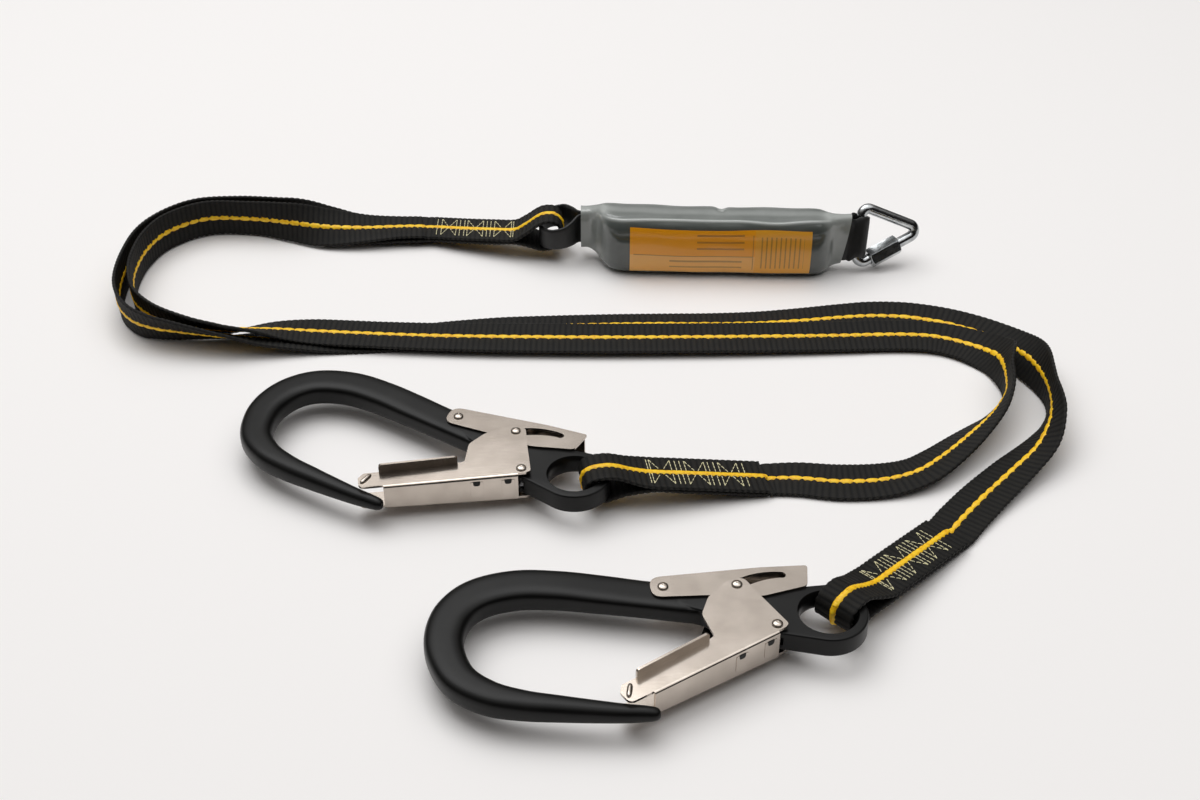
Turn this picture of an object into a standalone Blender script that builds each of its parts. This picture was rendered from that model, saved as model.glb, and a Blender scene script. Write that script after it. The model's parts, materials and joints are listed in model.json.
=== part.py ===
"""Twin webbing fall-arrest lanyard, laid out on the floor.

Two webbing legs run from one folded centre loop to a large scaffold hook each.
The centre loop holds an energy absorber, whose far eye holds a delta quick link.
Lengths are written in millimetres times MM, and the model is in metres, +Z up.
"""
import math

import bmesh
import bpy
from mathutils import Matrix, Vector

MM = 0.001
GAP = 0.3 * MM

# Webbing
WEB_WIDTH = 30.0 * MM
WEB_THICK = 2.4 * MM
SEWN_THICK = 5.2 * MM
LEG_STATIONS = 96
LENGTH_PER_DEGREE = 1.2 * MM

# Sewn eye that holds a hook
HOOK_TAB_END = 99.0 * MM
END_RUN = 7.0 * MM
EYE_LOOP_REACH = 12.3 * MM
EYE_LOOP_ROOF = 9.4 * MM
EYE_LOOP_FLOOR = 7.2 * MM
EYE_LOOP_SQUARE = 3.0
EYE_LOOP_WIDTH = 24.5 * MM
EYE_LOOP_JOIN = 27.0 * MM
EYE_LOOP_NARROW = 5.0 * MM
EYE_JOIN_DROP = 9.0 * MM
EYE_TAB_DROP = 13.4 * MM

# Hook forging, in the hook's own frame: origin at the gate pivot, +X to the eye
HOOK_PLANE_Z = 17.0 * MM
BODY_THICK = 12.5 * MM
RING_THICK = 15.0 * MM
EYE_CENTRE = Vector((30.5 * MM, 9.3 * MM))
EYE_HOLE_R = 15.3 * MM
EYE_FLARE = 1.0 * MM
EYE_WALL = 6.7 * MM
EYE_EDGE_ROUND = 2.4 * MM
NOSE_END = Vector((-70.5 * MM, -47.0 * MM))
HOOK_A = {"pivot": Vector((-47.2 * MM, 777.2 * MM)), "turn": -17.9, "strap": 9.2}
HOOK_B = {"pivot": Vector((95.0 * MM, 644.7 * MM)), "turn": 7.3, "strap": 46.8}

# Gate, one folded sheet
GATE_SHEET = 1.5 * MM
GATE_LINE_DEG = 205.1
GATE_HALF_HEIGHT = 9.8 * MM
GATE_TAPER = 0.0163
WEB_FACE_OFFSET = 6.0 * MM
WEB_START = 2.5 * MM
WEB_END = 76.0 * MM
FLANGE_START = 41.0 * MM
FLANGE_END = 85.5 * MM
FLANGE_FACE_OFFSET = -11.4 * MM
FLANGE_ROUND = 3.0 * MM
GATE_OPEN_DEG = 40.0

# Lock lever, a U of thinner sheet round the back of the spine
LEVER_SHEET = 1.2 * MM
LEVER_PIVOT = Vector((-55.9 * MM, 38.6 * MM))
LEVER_PRESS_DEG = 4.1
LEVER_BACK_Y = 47.0 * MM
LEVER_BACK_INSET = 0.6 * MM
LEVER_BACK_START = -44.0 * MM
LEVER_BACK_END = 25.0 * MM
GUIDE_PIN = Vector((-15.6 * MM, 33.1 * MM))
SLOT_RUN_ON_DEG = 2.5

# Rivets and springs
RIVET_R = 2.1 * MM
RIVET_HEAD_R = 3.1 * MM
RIVET_HEAD_H = 1.5 * MM
RIVET_SEAT = 0.2 * MM
SPRING_WIRE_R = 0.5 * MM
SPRING_ROOM = 0.4 * MM
SPRING_PITCH_ROOM = 0.15 * MM
SPRING_TURNS = 3
LEVER_SLOT_FLOOR = -6.0 * MM
SPRING_SLOT_HALF = 2.7 * MM

# Energy absorber, standing on its long edge
SLEEVE_WALL = 0.8 * MM
SLEEVE_RINGS = 20
SLEEVE_FINE = 121
LABEL_THICK = 0.3 * MM
LABEL_START = 21.5 * MM
LABEL_END = 153.0 * MM
LABEL_STEPS = 14
EYE_BAND_THICK = 2.2 * MM
EYE_HOLD_HALF = 9.1 * MM
TEAR_START = 1.0 * MM
TEAR_END = 164.0 * MM
CENTRE_LOOP_START = -124.0 * MM
CENTRE_LOOP_Y = 1089.0 * MM
CENTRE_LOOP_START_Z = 6.8 * MM
CENTRE_LOOP_HOLD = Vector((-43.5 * MM, 1067.0 * MM, 20.5 * MM))
CENTRE_LOOP_ROOM = 2.6 * MM

# Delta quick link
LINK_WIRE_R = 3.9 * MM
LINK_TOP = Vector((191.0 * MM, 1056.0 * MM, 46.0 * MM))
LINK_FOOT = Vector((187.0 * MM, 1040.0 * MM, 4.7 * MM))
LINK_APEX = Vector((238.0 * MM, 1060.0 * MM, 24.0 * MM))
LINK_CORNER_R = 5.0 * MM
LINK_GAP = 7.0 * MM
LINK_END_IN_NUT = 3.5 * MM
NUT_LENGTH = 24.0 * MM
NUT_FLATS = 13.0 * MM
NUT_PLACE = 0.41

# Routes of the two webbing legs: x, y, z of the middle in mm, and how far the
# face that is up at the absorber has leaned over: 90 flat, 0 standing on edge
LEG_A_ROUTE = [
    (-136, 1088.5, 9.0, 90), (-153, 1087.2, 10.4, 80), (-178, 1085.2, 14.0, 56), (-204, 1086.0, 16.4, 20),
    (-241, 1092, 16.0, -4), (-280, 1094, 16.0, -5), (-312, 1079, 16.0, -2), (-329, 1050, 16.0, 0),
    (-334, 1018, 16.0, 0), (-331, 990, 16.0, 4), (-320, 967, 16.0, 12), (-301, 954, 15.8, 28),
    (-276, 951, 14.6, 52), (-250, 953, 12.0, 74), (-222, 955, 9.6, 90), (-190, 955, 8.2, 97),
    (-160, 953, 7.2, 98), (-120, 948, 6.4, 98), (-69, 943.5, 6.0, 98), (0, 940, 6.0, 98),
    (70, 942, 6.0, 97), (138, 945, 6.2, 97), (190, 947, 7.6, 104), (222, 943, 10.5, 128),
    (246, 928, 14.0, 160), (263, 902, 16.0, 178), (267, 876, 16.0, 180), (260, 854, 16.0, 180),
    (243, 832, 16.0, 182), (222, 814, 16.0, 188), (198, 803, 15.0, 208), (172, 797, 11.0, 238),
    (145, 796.5, 6.2, 258), (122, 797.3, 3.4, 266)]
LEG_B_ROUTE = [
    (-136, 1088.5, 5.2, 90), (-153, 1088.2, 5.8, 80), (-178, 1088.0, 10.2, 56), (-204, 1091.4, 15.0, 20),
    (-241, 1102, 15.4, -4), (-283, 1105, 15.4, -4), (-322, 1090, 15.4, -2), (-343, 1058, 15.4, 0),
    (-349, 1018, 15.4, 0), (-346, 984, 15.4, 2), (-334, 957, 15.4, 8), (-311, 940, 15.2, 22),
    (-282, 934, 13.6, 44), (-256, 935, 10.6, 62), (-230, 939, 7.0, 76), (-200, 945, 4.0, 86),
    (-170, 951, 2.4, 90), (-135, 957, 1.6, 90), (-100, 962, 1.5, 90), (-50, 965.5, 1.5, 90),
    (20, 967, 1.5, 90), (100, 967, 1.5, 90), (165, 968, 1.7, 91), (205, 967, 3.6, 100),
    (236, 961, 8.2, 124), (262, 945, 13.0, 156), (284, 916, 15.4, 176), (296, 882, 15.4, 180),
    (296, 852, 15.4, 180), (284, 822, 15.4, 181), (264, 796, 15.2, 190), (244, 778, 12.4, 216),
    (229.5, 765, 7.6, 246), (217, 755, 4.0, 264)]

COLOURS = {
    "webbing": ((0.012, 0.012, 0.013, 1.0), 0.9, 0.0),
    "forging": ((0.014, 0.015, 0.015, 1.0), 0.45, 0.2),
    "stainless": ((0.58, 0.55, 0.52, 1.0), 0.3, 1.0),
    "zinc": ((0.6, 0.61, 0.62, 1.0), 0.25, 1.0),
    "spring_steel": ((0.35, 0.35, 0.36, 1.0), 0.35, 1.0),
    "sleeve": ((0.16, 0.165, 0.16, 1.0), 0.2, 0.0),
    "label": ((0.78, 0.37, 0.03, 1.0), 0.4, 0.0),
    "tear_webbing": ((0.08, 0.08, 0.078, 1.0), 0.9, 0.0),
}


def clear_scene():
    for item in list(bpy.data.objects):
        bpy.data.objects.remove(item)


def material(kind):
    """One Principled material for each object, in the colour of its kind."""
    colour, rough, metal = COLOURS[kind]
    made = bpy.data.materials.new(kind)
    made.use_nodes = True
    shader = made.node_tree.nodes["Principled BSDF"]
    shader.inputs["Base Color"].default_value = colour
    shader.inputs["Roughness"].default_value = rough
    shader.inputs["Metallic"].default_value = metal
    return made


def empty(name, parent=None, location=(0.0, 0.0, 0.0), turn=0.0):
    made = bpy.data.objects.new(name, None)
    made.empty_display_size = 0.01
    bpy.context.scene.collection.objects.link(made)
    made.parent = parent
    made.location = location
    made.rotation_euler = (0.0, 0.0, math.radians(turn))
    return made


def mesh_of(shape, name):
    bmesh.ops.recalc_face_normals(shape, faces=shape.faces)
    made = bpy.data.meshes.new(name)
    shape.to_mesh(made)
    shape.free()
    return made


def place(name, mesh, kind, parent=None, origin=(0.0, 0.0, 0.0), smooth_deg=35.0):
    """Put a mesh in the scene with its origin moved to a point of its parent's frame."""
    own = mesh.copy()
    own.name = name
    origin = Vector(origin)
    own.transform(Matrix.Translation(-origin))
    own.materials.clear()
    own.materials.append(material(kind))
    own.shade_smooth()
    own.set_sharp_from_angle(angle=math.radians(smooth_deg))
    made = bpy.data.objects.new(name, own)
    bpy.context.scene.collection.objects.link(made)
    made.parent = parent
    made.location = origin
    return made


def combine(base, tool, operation):
    """Boolean of two meshes, returned as a new mesh."""
    holder = bpy.data.objects.new("base", base)
    cutter = bpy.data.objects.new("tool", tool)
    for item in (holder, cutter):
        bpy.context.scene.collection.objects.link(item)
    step = holder.modifiers.new("cut", "BOOLEAN")
    step.operation = operation
    step.object = cutter
    step.solver = "EXACT"
    bpy.context.view_layer.update()
    graph = bpy.context.evaluated_depsgraph_get()
    made = bpy.data.meshes.new_from_object(holder.evaluated_get(graph))
    for item in (holder, cutter):
        bpy.data.objects.remove(item)
    return made


def join_all(meshes):
    whole = meshes[0]
    for other in meshes[1:]:
        whole = combine(whole, other, "UNION")
    return whole


def cut_all(base, cutters):
    for cutter in cutters:
        base = combine(base, cutter, "DIFFERENCE")
    return base


def arc_points(centre, radius, start_deg, end_deg, steps):
    points = []
    for i in range(steps + 1):
        angle = math.radians(start_deg + (end_deg - start_deg) * i / steps)
        points.append(Vector((centre[0] + radius * math.cos(angle), centre[1] + radius * math.sin(angle))))
    return points


def rounded(corners, steps=4):
    """Closed outline through corners (x, y, radius) in metres, with each corner rounded."""
    points = []
    count = len(corners)
    for i, (x, y, radius) in enumerate(corners):
        here = Vector((x, y))
        before = Vector(corners[i - 1][:2]) - here
        after = Vector(corners[(i + 1) % count][:2]) - here
        half = before.angle(after) / 2
        if radius <= 0 or half > math.radians(88):
            points.append(here)
            continue
        reach = min(radius / math.tan(half), 0.48 * before.length, 0.48 * after.length)
        start = here + before.normalized() * reach
        end = here + after.normalized() * reach
        for k in range(steps + 1):
            t = k / steps
            points.append(start * (1 - t) ** 2 + here * 2 * t * (1 - t) + end * t ** 2)
    return points


def prism(outline, low, high):
    """Closed solid over a plan outline. low and high are heights or functions of the point."""
    shape = bmesh.new()
    height_low = low if callable(low) else lambda point: low
    height_high = high if callable(high) else lambda point: high
    under = [shape.verts.new((p[0], p[1], height_low(p))) for p in outline]
    over = [shape.verts.new((p[0], p[1], height_high(p))) for p in outline]
    shape.faces.new(list(reversed(under)))
    shape.faces.new(over)
    for i in range(len(outline)):
        j = (i + 1) % len(outline)
        shape.faces.new((under[i], under[j], over[j], over[i]))
    return shape


def loft(rings):
    """Closed solid through rings of equally many points, with flat ends."""
    shape = bmesh.new()
    rows = [[shape.verts.new(point) for point in ring] for ring in rings]
    for low, high in zip(rows, rows[1:]):
        for i in range(len(low)):
            j = (i + 1) % len(low)
            shape.faces.new((low[i], low[j], high[j], high[i]))
    shape.faces.new(list(reversed(rows[0])))
    shape.faces.new(rows[-1])
    return shape


def lathe(profile, steps):
    """Solid of revolution about Z from (radius, height) pairs whose ends lie on the axis."""
    shape = bmesh.new()
    rings = []
    for radius, height in profile[1:-1]:
        ring = []
        for i in range(steps):
            angle = 2 * math.pi * i / steps
            ring.append(shape.verts.new((radius * math.cos(angle), radius * math.sin(angle), height)))
        rings.append(ring)
    tip_low = shape.verts.new((0.0, 0.0, profile[0][1]))
    tip_high = shape.verts.new((0.0, 0.0, profile[-1][1]))
    for i in range(steps):
        j = (i + 1) % steps
        shape.faces.new((tip_low, rings[0][j], rings[0][i]))
        shape.faces.new((tip_high, rings[-1][i], rings[-1][j]))
        for low, high in zip(rings, rings[1:]):
            shape.faces.new((low[i], low[j], high[j], high[i]))
    return shape


def superellipse(half_u, half_v, power, count):
    """Points round a rounded rectangle, denser at its corners."""
    points = []
    for i in range(count):
        angle = 2 * math.pi * (i + 0.5) / count
        c, s = math.cos(angle), math.sin(angle)
        scale = (abs(c) ** power + abs(s) ** power) ** (-1.0 / power)
        points.append((half_u * c * scale, half_v * s * scale))
    return points


def smooth_through(points, count, twist_share=0.0):
    """Catmull-Rom curve through tuples of numbers, sampled evenly along its length and twist."""
    rows = [Vector(p) for p in points]
    size = len(points[0])
    first = [2 * rows[0][k] - rows[1][k] for k in range(size)]
    last = [2 * rows[-1][k] - rows[-2][k] for k in range(size)]
    padded = [first] + [list(row) for row in rows] + [last]
    fine = []
    for i in range(1, len(padded) - 2):
        a, b, c, d = padded[i - 1], padded[i], padded[i + 1], padded[i + 2]
        for step in range(16):
            t = step / 16
            fine.append([0.5 * (2 * b[k] + (c[k] - a[k]) * t + (2 * a[k] - 5 * b[k] + 4 * c[k] - d[k]) * t * t
                                + (3 * b[k] - a[k] - 3 * c[k] + d[k]) * t ** 3) for k in range(size)])
    fine.append(padded[-2])
    run = [0.0]
    space = min(3, size)
    for here, there in zip(fine, fine[1:]):
        step = math.sqrt(sum((there[k] - here[k]) ** 2 for k in range(space)))
        run.append(run[-1] + step + twist_share * abs(there[-1] - here[-1]))
    result = []
    j = 0
    for i in range(count):
        goal = run[-1] * i / (count - 1)
        while j < len(run) - 2 and run[j + 1] < goal:
            j += 1
        t = (goal - run[j]) / max(run[j + 1] - run[j], 1e-12)
        result.append([fine[j][k] + (fine[j + 1][k] - fine[j][k]) * min(t, 1.0) for k in range(size)])
    return result


def band(centres, half_widths, thick):
    """Flat strip through centre points, each with the vector to its edge."""
    rings = []
    last = len(centres) - 1
    for i, (centre, half) in enumerate(zip(centres, half_widths)):
        along = centres[min(i + 1, last)] - centres[max(i - 1, 0)]
        out = along.cross(half).normalized() * (thick / 2)
        rings.append([centre - half - out, centre + half - out, centre + half + out, centre - half + out])
    return loft(rings)


def tube(centres, radius, sides):
    """Round bar through points, its rings carried along without twist."""
    rings = []
    last = len(centres) - 1
    across = None
    for i, centre in enumerate(centres):
        along = (centres[min(i + 1, last)] - centres[max(i - 1, 0)]).normalized()
        if across is None:
            across = along.orthogonal().normalized()
        across = (across - along * across.dot(along)).normalized()
        other = along.cross(across)
        rings.append([centre + (across * math.cos(a) + other * math.sin(a)) * radius
                      for a in (2 * math.pi * k / sides for k in range(sides))])
    return loft(rings)


def leg(name, route, hook_data, layer):
    """One webbing leg, from its layer of the sewn centre to the lower layer of its hook's eye."""
    laid = [(x * MM, y * MM, z * MM, lean) for x, y, z, lean in route]
    start = Vector((CENTRE_LOOP_START - GAP, CENTRE_LOOP_Y, CENTRE_LOOP_START_Z + layer * SEWN_THICK / 4))
    first = (start.x, start.y, start.z, 90.0)
    second = (start.x - END_RUN, start.y, start.z, 90.0)
    strap = math.radians(hook_data["strap"])
    way = Vector((math.cos(strap), math.sin(strap), 0.0))
    end = bar_place(hook_data) + way * (HOOK_TAB_END + GAP)
    end.z = HOOK_PLANE_Z - EYE_TAB_DROP - SEWN_THICK / 4
    before = end + way * END_RUN
    last = (end.x, end.y, end.z, 270.0)
    second_last = (before.x, before.y, before.z, 270.0)
    rows = [first] + smooth_through([second] + laid + [second_last], LEG_STATIONS, LENGTH_PER_DEGREE) + [last]
    centres = [Vector(row[:3]) for row in rows]
    halves = []
    for i, row in enumerate(rows):
        along = centres[min(i + 1, len(rows) - 1)] - centres[max(i - 1, 0)]
        left = Vector((-along.y, along.x, 0.0)).normalized()
        lean = math.radians(row[3])
        resting = WEB_WIDTH / 2 * abs(math.cos(lean)) + WEB_THICK / 2 * abs(math.sin(lean)) + GAP
        centres[i].z = max(centres[i].z, resting)
        halves.append((left * math.sin(lean) - Vector((0, 0, math.cos(lean)))) * (WEB_WIDTH / 2))
    length = sum((b - a).length for a, b in zip(centres, centres[1:]))
    print(f"{name}: free webbing length {length:.3f} m")
    return place(name, mesh_of(band(centres, halves, WEB_THICK), name), "webbing")


def sewn_eye(outer, inner, start_high, start_low, half_width_at):
    """Two sewn layers that part round a hole.

    outer and inner run round the loop from its upper to its lower junction, the inner
    one closed on itself, and every point is (run, height) in the eye's side view.
    """
    shape = bmesh.new()

    def pair(point):
        half = half_width_at(point[0])
        return [shape.verts.new((point[0], side * half, point[1])) for side in (-1, 1)]

    outer_v = [pair(p) for p in outer]
    inner_v = [pair(p) for p in inner[:-1]]
    inner_v.append(inner_v[0])
    high = pair(start_high)
    low = pair(start_low)
    for side in (0, 1):
        for i in range(len(outer) - 1):
            shape.faces.new((outer_v[i][side], outer_v[i + 1][side], inner_v[i + 1][side], inner_v[i][side]))
        shape.faces.new((high[side], outer_v[0][side], inner_v[0][side], outer_v[-1][side], low[side]))
    rim = [high] + outer_v + [low]
    for a, b in zip(rim, rim[1:] + rim[:1]):
        shape.faces.new((a[0], b[0], b[1], a[1]))
    for a, b in zip(inner_v, inner_v[1:]):
        shape.faces.new((a[0], b[0], b[1], a[1]))
    return shape


def loop_outlines(reach, roof, floor, join, join_drop, shoulder):
    """Outer and inner side view of a strap loop whose bar passes at (0, 0)."""
    top = shoulder + [(0.0, roof)]
    end = []
    for i in range(1, 8):
        angle = math.radians(90 + 180 * i / 8)
        height = roof if i < 4 else floor
        c, s = math.cos(angle), math.sin(angle)
        grow = (abs(c) ** EYE_LOOP_SQUARE + abs(s) ** EYE_LOOP_SQUARE) ** (-1 / EYE_LOOP_SQUARE)
        end.append((reach * c * grow, height * s * grow))
    bottom = [(0.0, -floor), (join * 0.4, -floor - (join_drop - floor) * 0.55)]
    junction = (join, -join_drop)
    inner = [junction] + top + end + bottom + [junction]
    outer = []
    for i in range(1, len(inner) - 1):
        before, after = Vector(inner[i - 1]), Vector(inner[i + 1])
        along = (after - before).normalized()
        outer.append((inner[i][0] + along.y * WEB_THICK, inner[i][1] - along.x * WEB_THICK))
    return outer, inner[1:-1]


def hook_eye(name, hook):
    """The sewn webbing eye that a hook swings in."""
    shoulder = [(EYE_LOOP_JOIN * 0.55, EYE_LOOP_ROOF * 0.45 - EYE_JOIN_DROP * 0.35),
                (EYE_LOOP_JOIN * 0.28, EYE_LOOP_ROOF * 0.86)]
    outer, inner = loop_outlines(EYE_LOOP_REACH, EYE_LOOP_ROOF, EYE_LOOP_FLOOR, EYE_LOOP_JOIN, EYE_JOIN_DROP,
                                 shoulder)
    half_sewn = SEWN_THICK / 2
    join_high = (EYE_LOOP_JOIN, half_sewn - EYE_JOIN_DROP)
    join_low = (EYE_LOOP_JOIN, -half_sewn - EYE_JOIN_DROP)
    nose = (EYE_LOOP_JOIN, -EYE_JOIN_DROP)
    outer = [join_high] + outer + [join_low]
    inner = [nose] + inner + [nose]
    start_high = (HOOK_TAB_END, half_sewn - EYE_TAB_DROP)
    start_low = (HOOK_TAB_END, -half_sewn - EYE_TAB_DROP)

    def half_width(run):
        share = min(max((run - EYE_LOOP_NARROW) / (EYE_LOOP_JOIN - EYE_LOOP_NARROW), 0.0), 1.0)
        ease = share * share * (3 - 2 * share)
        return (EYE_LOOP_WIDTH + (WEB_WIDTH - EYE_LOOP_WIDTH) * ease) / 2

    shape = sewn_eye(outer, inner, start_high, start_low, half_width)
    bar = bar_place(hook)
    turn = Matrix.Rotation(math.radians(hook["strap"]), 4, "Z")
    shape.transform(Matrix.Translation(bar) @ turn)
    return place(name, mesh_of(shape, name), "webbing")


def hook_point(hook, point):
    """World place of a point of the hook's frame, on its middle plane."""
    angle = math.radians(hook["turn"])
    x = hook["pivot"].x + point[0] * math.cos(angle) - point[1] * math.sin(angle)
    y = hook["pivot"].y + point[0] * math.sin(angle) + point[1] * math.cos(angle)
    return Vector((x, y, HOOK_PLANE_Z))


def bar_place(hook):
    """Middle of the eye's bar where the strap goes round it."""
    strap = math.radians(hook["strap"])
    away = Vector((math.cos(strap), math.sin(strap), 0.0)) * (EYE_HOLE_R + EYE_WALL / 2)
    return hook_point(hook, EYE_CENTRE) + away


def centre_loop():
    """Folded middle of the webbing, sewn below the absorber's eye."""
    band_place = CENTRE_LOOP_HOLD
    reach, roof, floor, join = 14.0 * MM, EYE_HOLD_HALF + CENTRE_LOOP_ROOM, EYE_HOLD_HALF + GAP, 20.0 * MM
    drop, start_drop = 13.0 * MM, band_place.z - CENTRE_LOOP_START_Z
    shoulder = arc_points((0.0, 0.0), roof, 30, 75, 3)
    outer, inner = loop_outlines(reach, roof, floor, join, drop, shoulder)
    half_sewn = SEWN_THICK / 2
    nose = (join, -drop)
    outer = [(join, half_sewn - drop)] + outer + [(join, -half_sewn - drop)]
    inner = [nose] + inner + [nose]
    run_end = (band_place.x - CENTRE_LOOP_START)

    def half_width(run):
        share = min(max((run + reach) / (join + reach), 0.0), 1.0)
        return (0.78 + 0.22 * share) * WEB_WIDTH / 2

    shape = sewn_eye(outer, inner, (run_end, half_sewn - start_drop), (run_end, -half_sewn - start_drop), half_width)
    bmesh.ops.rotate(shape, verts=shape.verts, matrix=Matrix.Rotation(math.pi, 3, "Z"))
    slope = (CENTRE_LOOP_Y - band_place.y) / run_end
    for vert in shape.verts:
        share = min(max(-vert.co.x / run_end, 0.0), 1.0)
        vert.co.y += slope * run_end * share ** 1.3
        vert.co += band_place
    return place("centre_loop", mesh_of(shape, "centre_loop"), "webbing")


def forging():
    """The hook body: a tapering bar round the ring, a flat spine, and the eye."""
    stations = [
        (NOSE_END.x / MM, NOSE_END.y / MM, 4.6, 5.0, 2.0), (-73.5, -46.6, 7.4, 7.6, 2.0), (-80, -45.6, 8.6, 9.2, 2.1),
        (-90, -44.0, 9.8, 10.2, 2.2), (-104, -41.0, 11.4, 11.6, 2.3), (-122, -36.8, 13.4, 13.2, 2.4),
        (-140, -32.2, 15.2, 14.4, 2.6), (-157, -25.0, 17.4, 15.0, 3.0), (-171, -12.0, 19.6, 15.0, 3.2),
        (-177.3, 6.0, 21.0, 15.0, 3.4), (-177.2, 23.0, 21.8, 15.0, 3.6), (-170.5, 39.0, 22.4, 15.0, 3.8),
        (-157, 50.0, 23.0, 15.0, 4.0), (-136, 54.0, 23.0, 15.0, 4.0), (-113, 50.9, 22.6, 14.6, 4.0),
        (-90, 44.8, 22.4, 13.4, 4.2), (-68, 38.3, 21.4, 12.5, 4.6), (-42, 30.8, 21.0, 12.5, 5.0)]
    rows = smooth_through([(x * MM, y * MM, width * MM, thick * MM, power * MM)
                           for x, y, width, thick, power in stations], 32)
    rings = []
    for i, (x, y, width, thick, power) in enumerate(rows):
        before, after = rows[max(i - 1, 0)], rows[min(i + 1, len(rows) - 1)]
        along = Vector((after[0] - before[0], after[1] - before[1])).normalized()
        side = Vector((-along.y, along.x))
        grow = BODY_THICK / (12.5 * MM) if thick < 13.0 * MM else RING_THICK / (15.0 * MM)
        section = superellipse(width / 2, thick * grow / 2, power / MM, 14)
        rings.append([Vector((x + side.x * u, y + side.y * u, v)) for u, v in section])
    body = mesh_of(loft(rings), "bar")
    body = combine(body, mesh_of(eye_plate(), "plate"), "UNION")
    hole = EYE_HOLE_R
    half = BODY_THICK / 2
    upper = [(hole, half * 0.3), (hole + EYE_FLARE * 0.5, half * 0.62), (hole + EYE_FLARE * 2, half + GAP)]
    lower = [(radius, -height) for radius, height in reversed(upper)]
    eye_cut = lathe([(0, -half - GAP)] + lower + upper + [(0, half + GAP)], 30)
    eye_cut.transform(Matrix.Translation((EYE_CENTRE.x, EYE_CENTRE.y, 0.0)))
    return cut_all(body, [mesh_of(eye_cut, "eye_cut"), mesh_of(rivet_hole(Vector((0, 0))), "hole"),
                          mesh_of(rivet_hole(LEVER_PIVOT), "hole"), mesh_of(gate_spring_slot(), "slot"),
                          mesh_of(lever_spring_slot(), "slot")])


def eye_plate():
    """Flat neck and eye of the forging, with rounded rims."""
    eye_r = EYE_HOLE_R + EYE_WALL
    pin_run = GUIDE_PIN.length - RIVET_R - 2 * GAP
    outline = [Vector(p) * MM for p in ((-54, 24.8), (-44, 21.8), (-36, 18.2), (-25, 8.6), (-13, 1.6))]
    outline += arc_points((0, 0), WEB_FACE_OFFSET - GATE_SHEET - 2 * GAP, 255, 290, 2)
    outline += arc_points(EYE_CENTRE, eye_r, 248, 440, 22)
    outline += arc_points((0, 0), pin_run, 66, 116, 7)
    outline += [Vector(p) * MM for p in ((-18.2, 29.2), (-20.8, 29.4), (-23.0, 31.0), (-24.6, 34.0), (-26.6, 37.0),
                                         (-30.0, 39.4), (-40, 42.6), (-54, 45.6))]
    shape = prism(outline, -BODY_THICK / 2, BODY_THICK / 2)
    rims = [edge for edge in shape.edges if abs(edge.verts[0].co.z - edge.verts[1].co.z) < MM * 0.01]
    bmesh.ops.bevel(shape, geom=rims, offset=EYE_EDGE_ROUND, segments=2, affect="EDGES", profile=0.5,
                    clamp_overlap=True)
    return shape


def rivet_hole(point):
    shape = lathe([(0, -BODY_THICK), (RIVET_R + GAP, -BODY_THICK), (RIVET_R + GAP, BODY_THICK), (0, BODY_THICK)], 16)
    shape.transform(Matrix.Translation((point[0], point[1], 0.0)))
    return shape


def gate_spring_slot():
    outline = [Vector(p) * MM for p in ((-15, -12), (8, -12), (6.5, 5.5), (-12, 6.5))]
    return prism(outline, -SPRING_SLOT_HALF, SPRING_SLOT_HALF)


def lever_spring_slot():
    x, y = LEVER_PIVOT
    outline = [(x - 6.5 * MM, y + LEVER_SLOT_FLOOR), (x + 20 * MM, y + LEVER_SLOT_FLOOR), (x + 20 * MM, y + 14 * MM),
               (x - 6.5 * MM, y + 14 * MM)]
    return prism(outline, -SPRING_SLOT_HALF, SPRING_SLOT_HALF)


def gate_axes():
    """Unit vectors along the gate to its tip and out through its web."""
    angle = math.radians(GATE_LINE_DEG)
    along = Vector((math.cos(angle), math.sin(angle)))
    return along, Vector((-along.y, along.x))


def gate_point(run, out):
    along, outward = gate_axes()
    return along * run + outward * out


def gate_height(point):
    """Half height of the gate's channel at a plan point."""
    run = Vector(point[:2]).dot(gate_axes()[0])
    return GATE_HALF_HEIGHT - GATE_TAPER * run


def cheek_outline():
    corners = [(-35.6, -3.8, 2.0), (-38.8, 14.0, 8.0), (-32.0, 26.6, 10.0), (-20.5, 37.0, 5.0), (-9.5, 38.4, 5.0),
               (-3.2, 21.0, 12.0)]
    points = [(x * MM, y * MM, r * MM) for x, y, r in corners]
    fold = WEB_FACE_OFFSET - GATE_SHEET * 0.4
    flange_fold = FLANGE_FACE_OFFSET + GATE_SHEET * 0.4
    pivot_end = gate_point(-7.2 * MM, fold)
    tip = gate_point(95.0 * MM, fold)
    tip_back = gate_point(97.0 * MM, -3.5 * MM)
    flange_tip = gate_point(FLANGE_END + 2 * MM, flange_fold)
    flange_root = gate_point(FLANGE_START - 3 * MM, flange_fold)
    points += [(pivot_end.x + 0.5 * MM, pivot_end.y + 5.6 * MM, 4.0 * MM), (pivot_end.x, pivot_end.y, 4.5 * MM),
               (tip.x, tip.y, 4.0 * MM), (tip_back.x, tip_back.y, 4.0 * MM), (flange_tip.x, flange_tip.y, 2.0 * MM),
               (flange_root.x, flange_root.y, 0.0)]
    return rounded(points, 4)


def cheek(side):
    outline = cheek_outline()
    inner = lambda p: side * (gate_height(p) - GATE_SHEET)
    outer = lambda p: side * gate_height(p)
    return prism(outline, inner, outer)


def gate_web():
    outline = [gate_point(run, out) for run, out in (
        (WEB_START, WEB_FACE_OFFSET), (WEB_END, WEB_FACE_OFFSET), (WEB_END, WEB_FACE_OFFSET - GATE_SHEET),
        (WEB_START, WEB_FACE_OFFSET - GATE_SHEET))]
    inset = GATE_SHEET * 0.4
    return prism(outline, lambda p: inset - gate_height(p), lambda p: gate_height(p) - inset)


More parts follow.
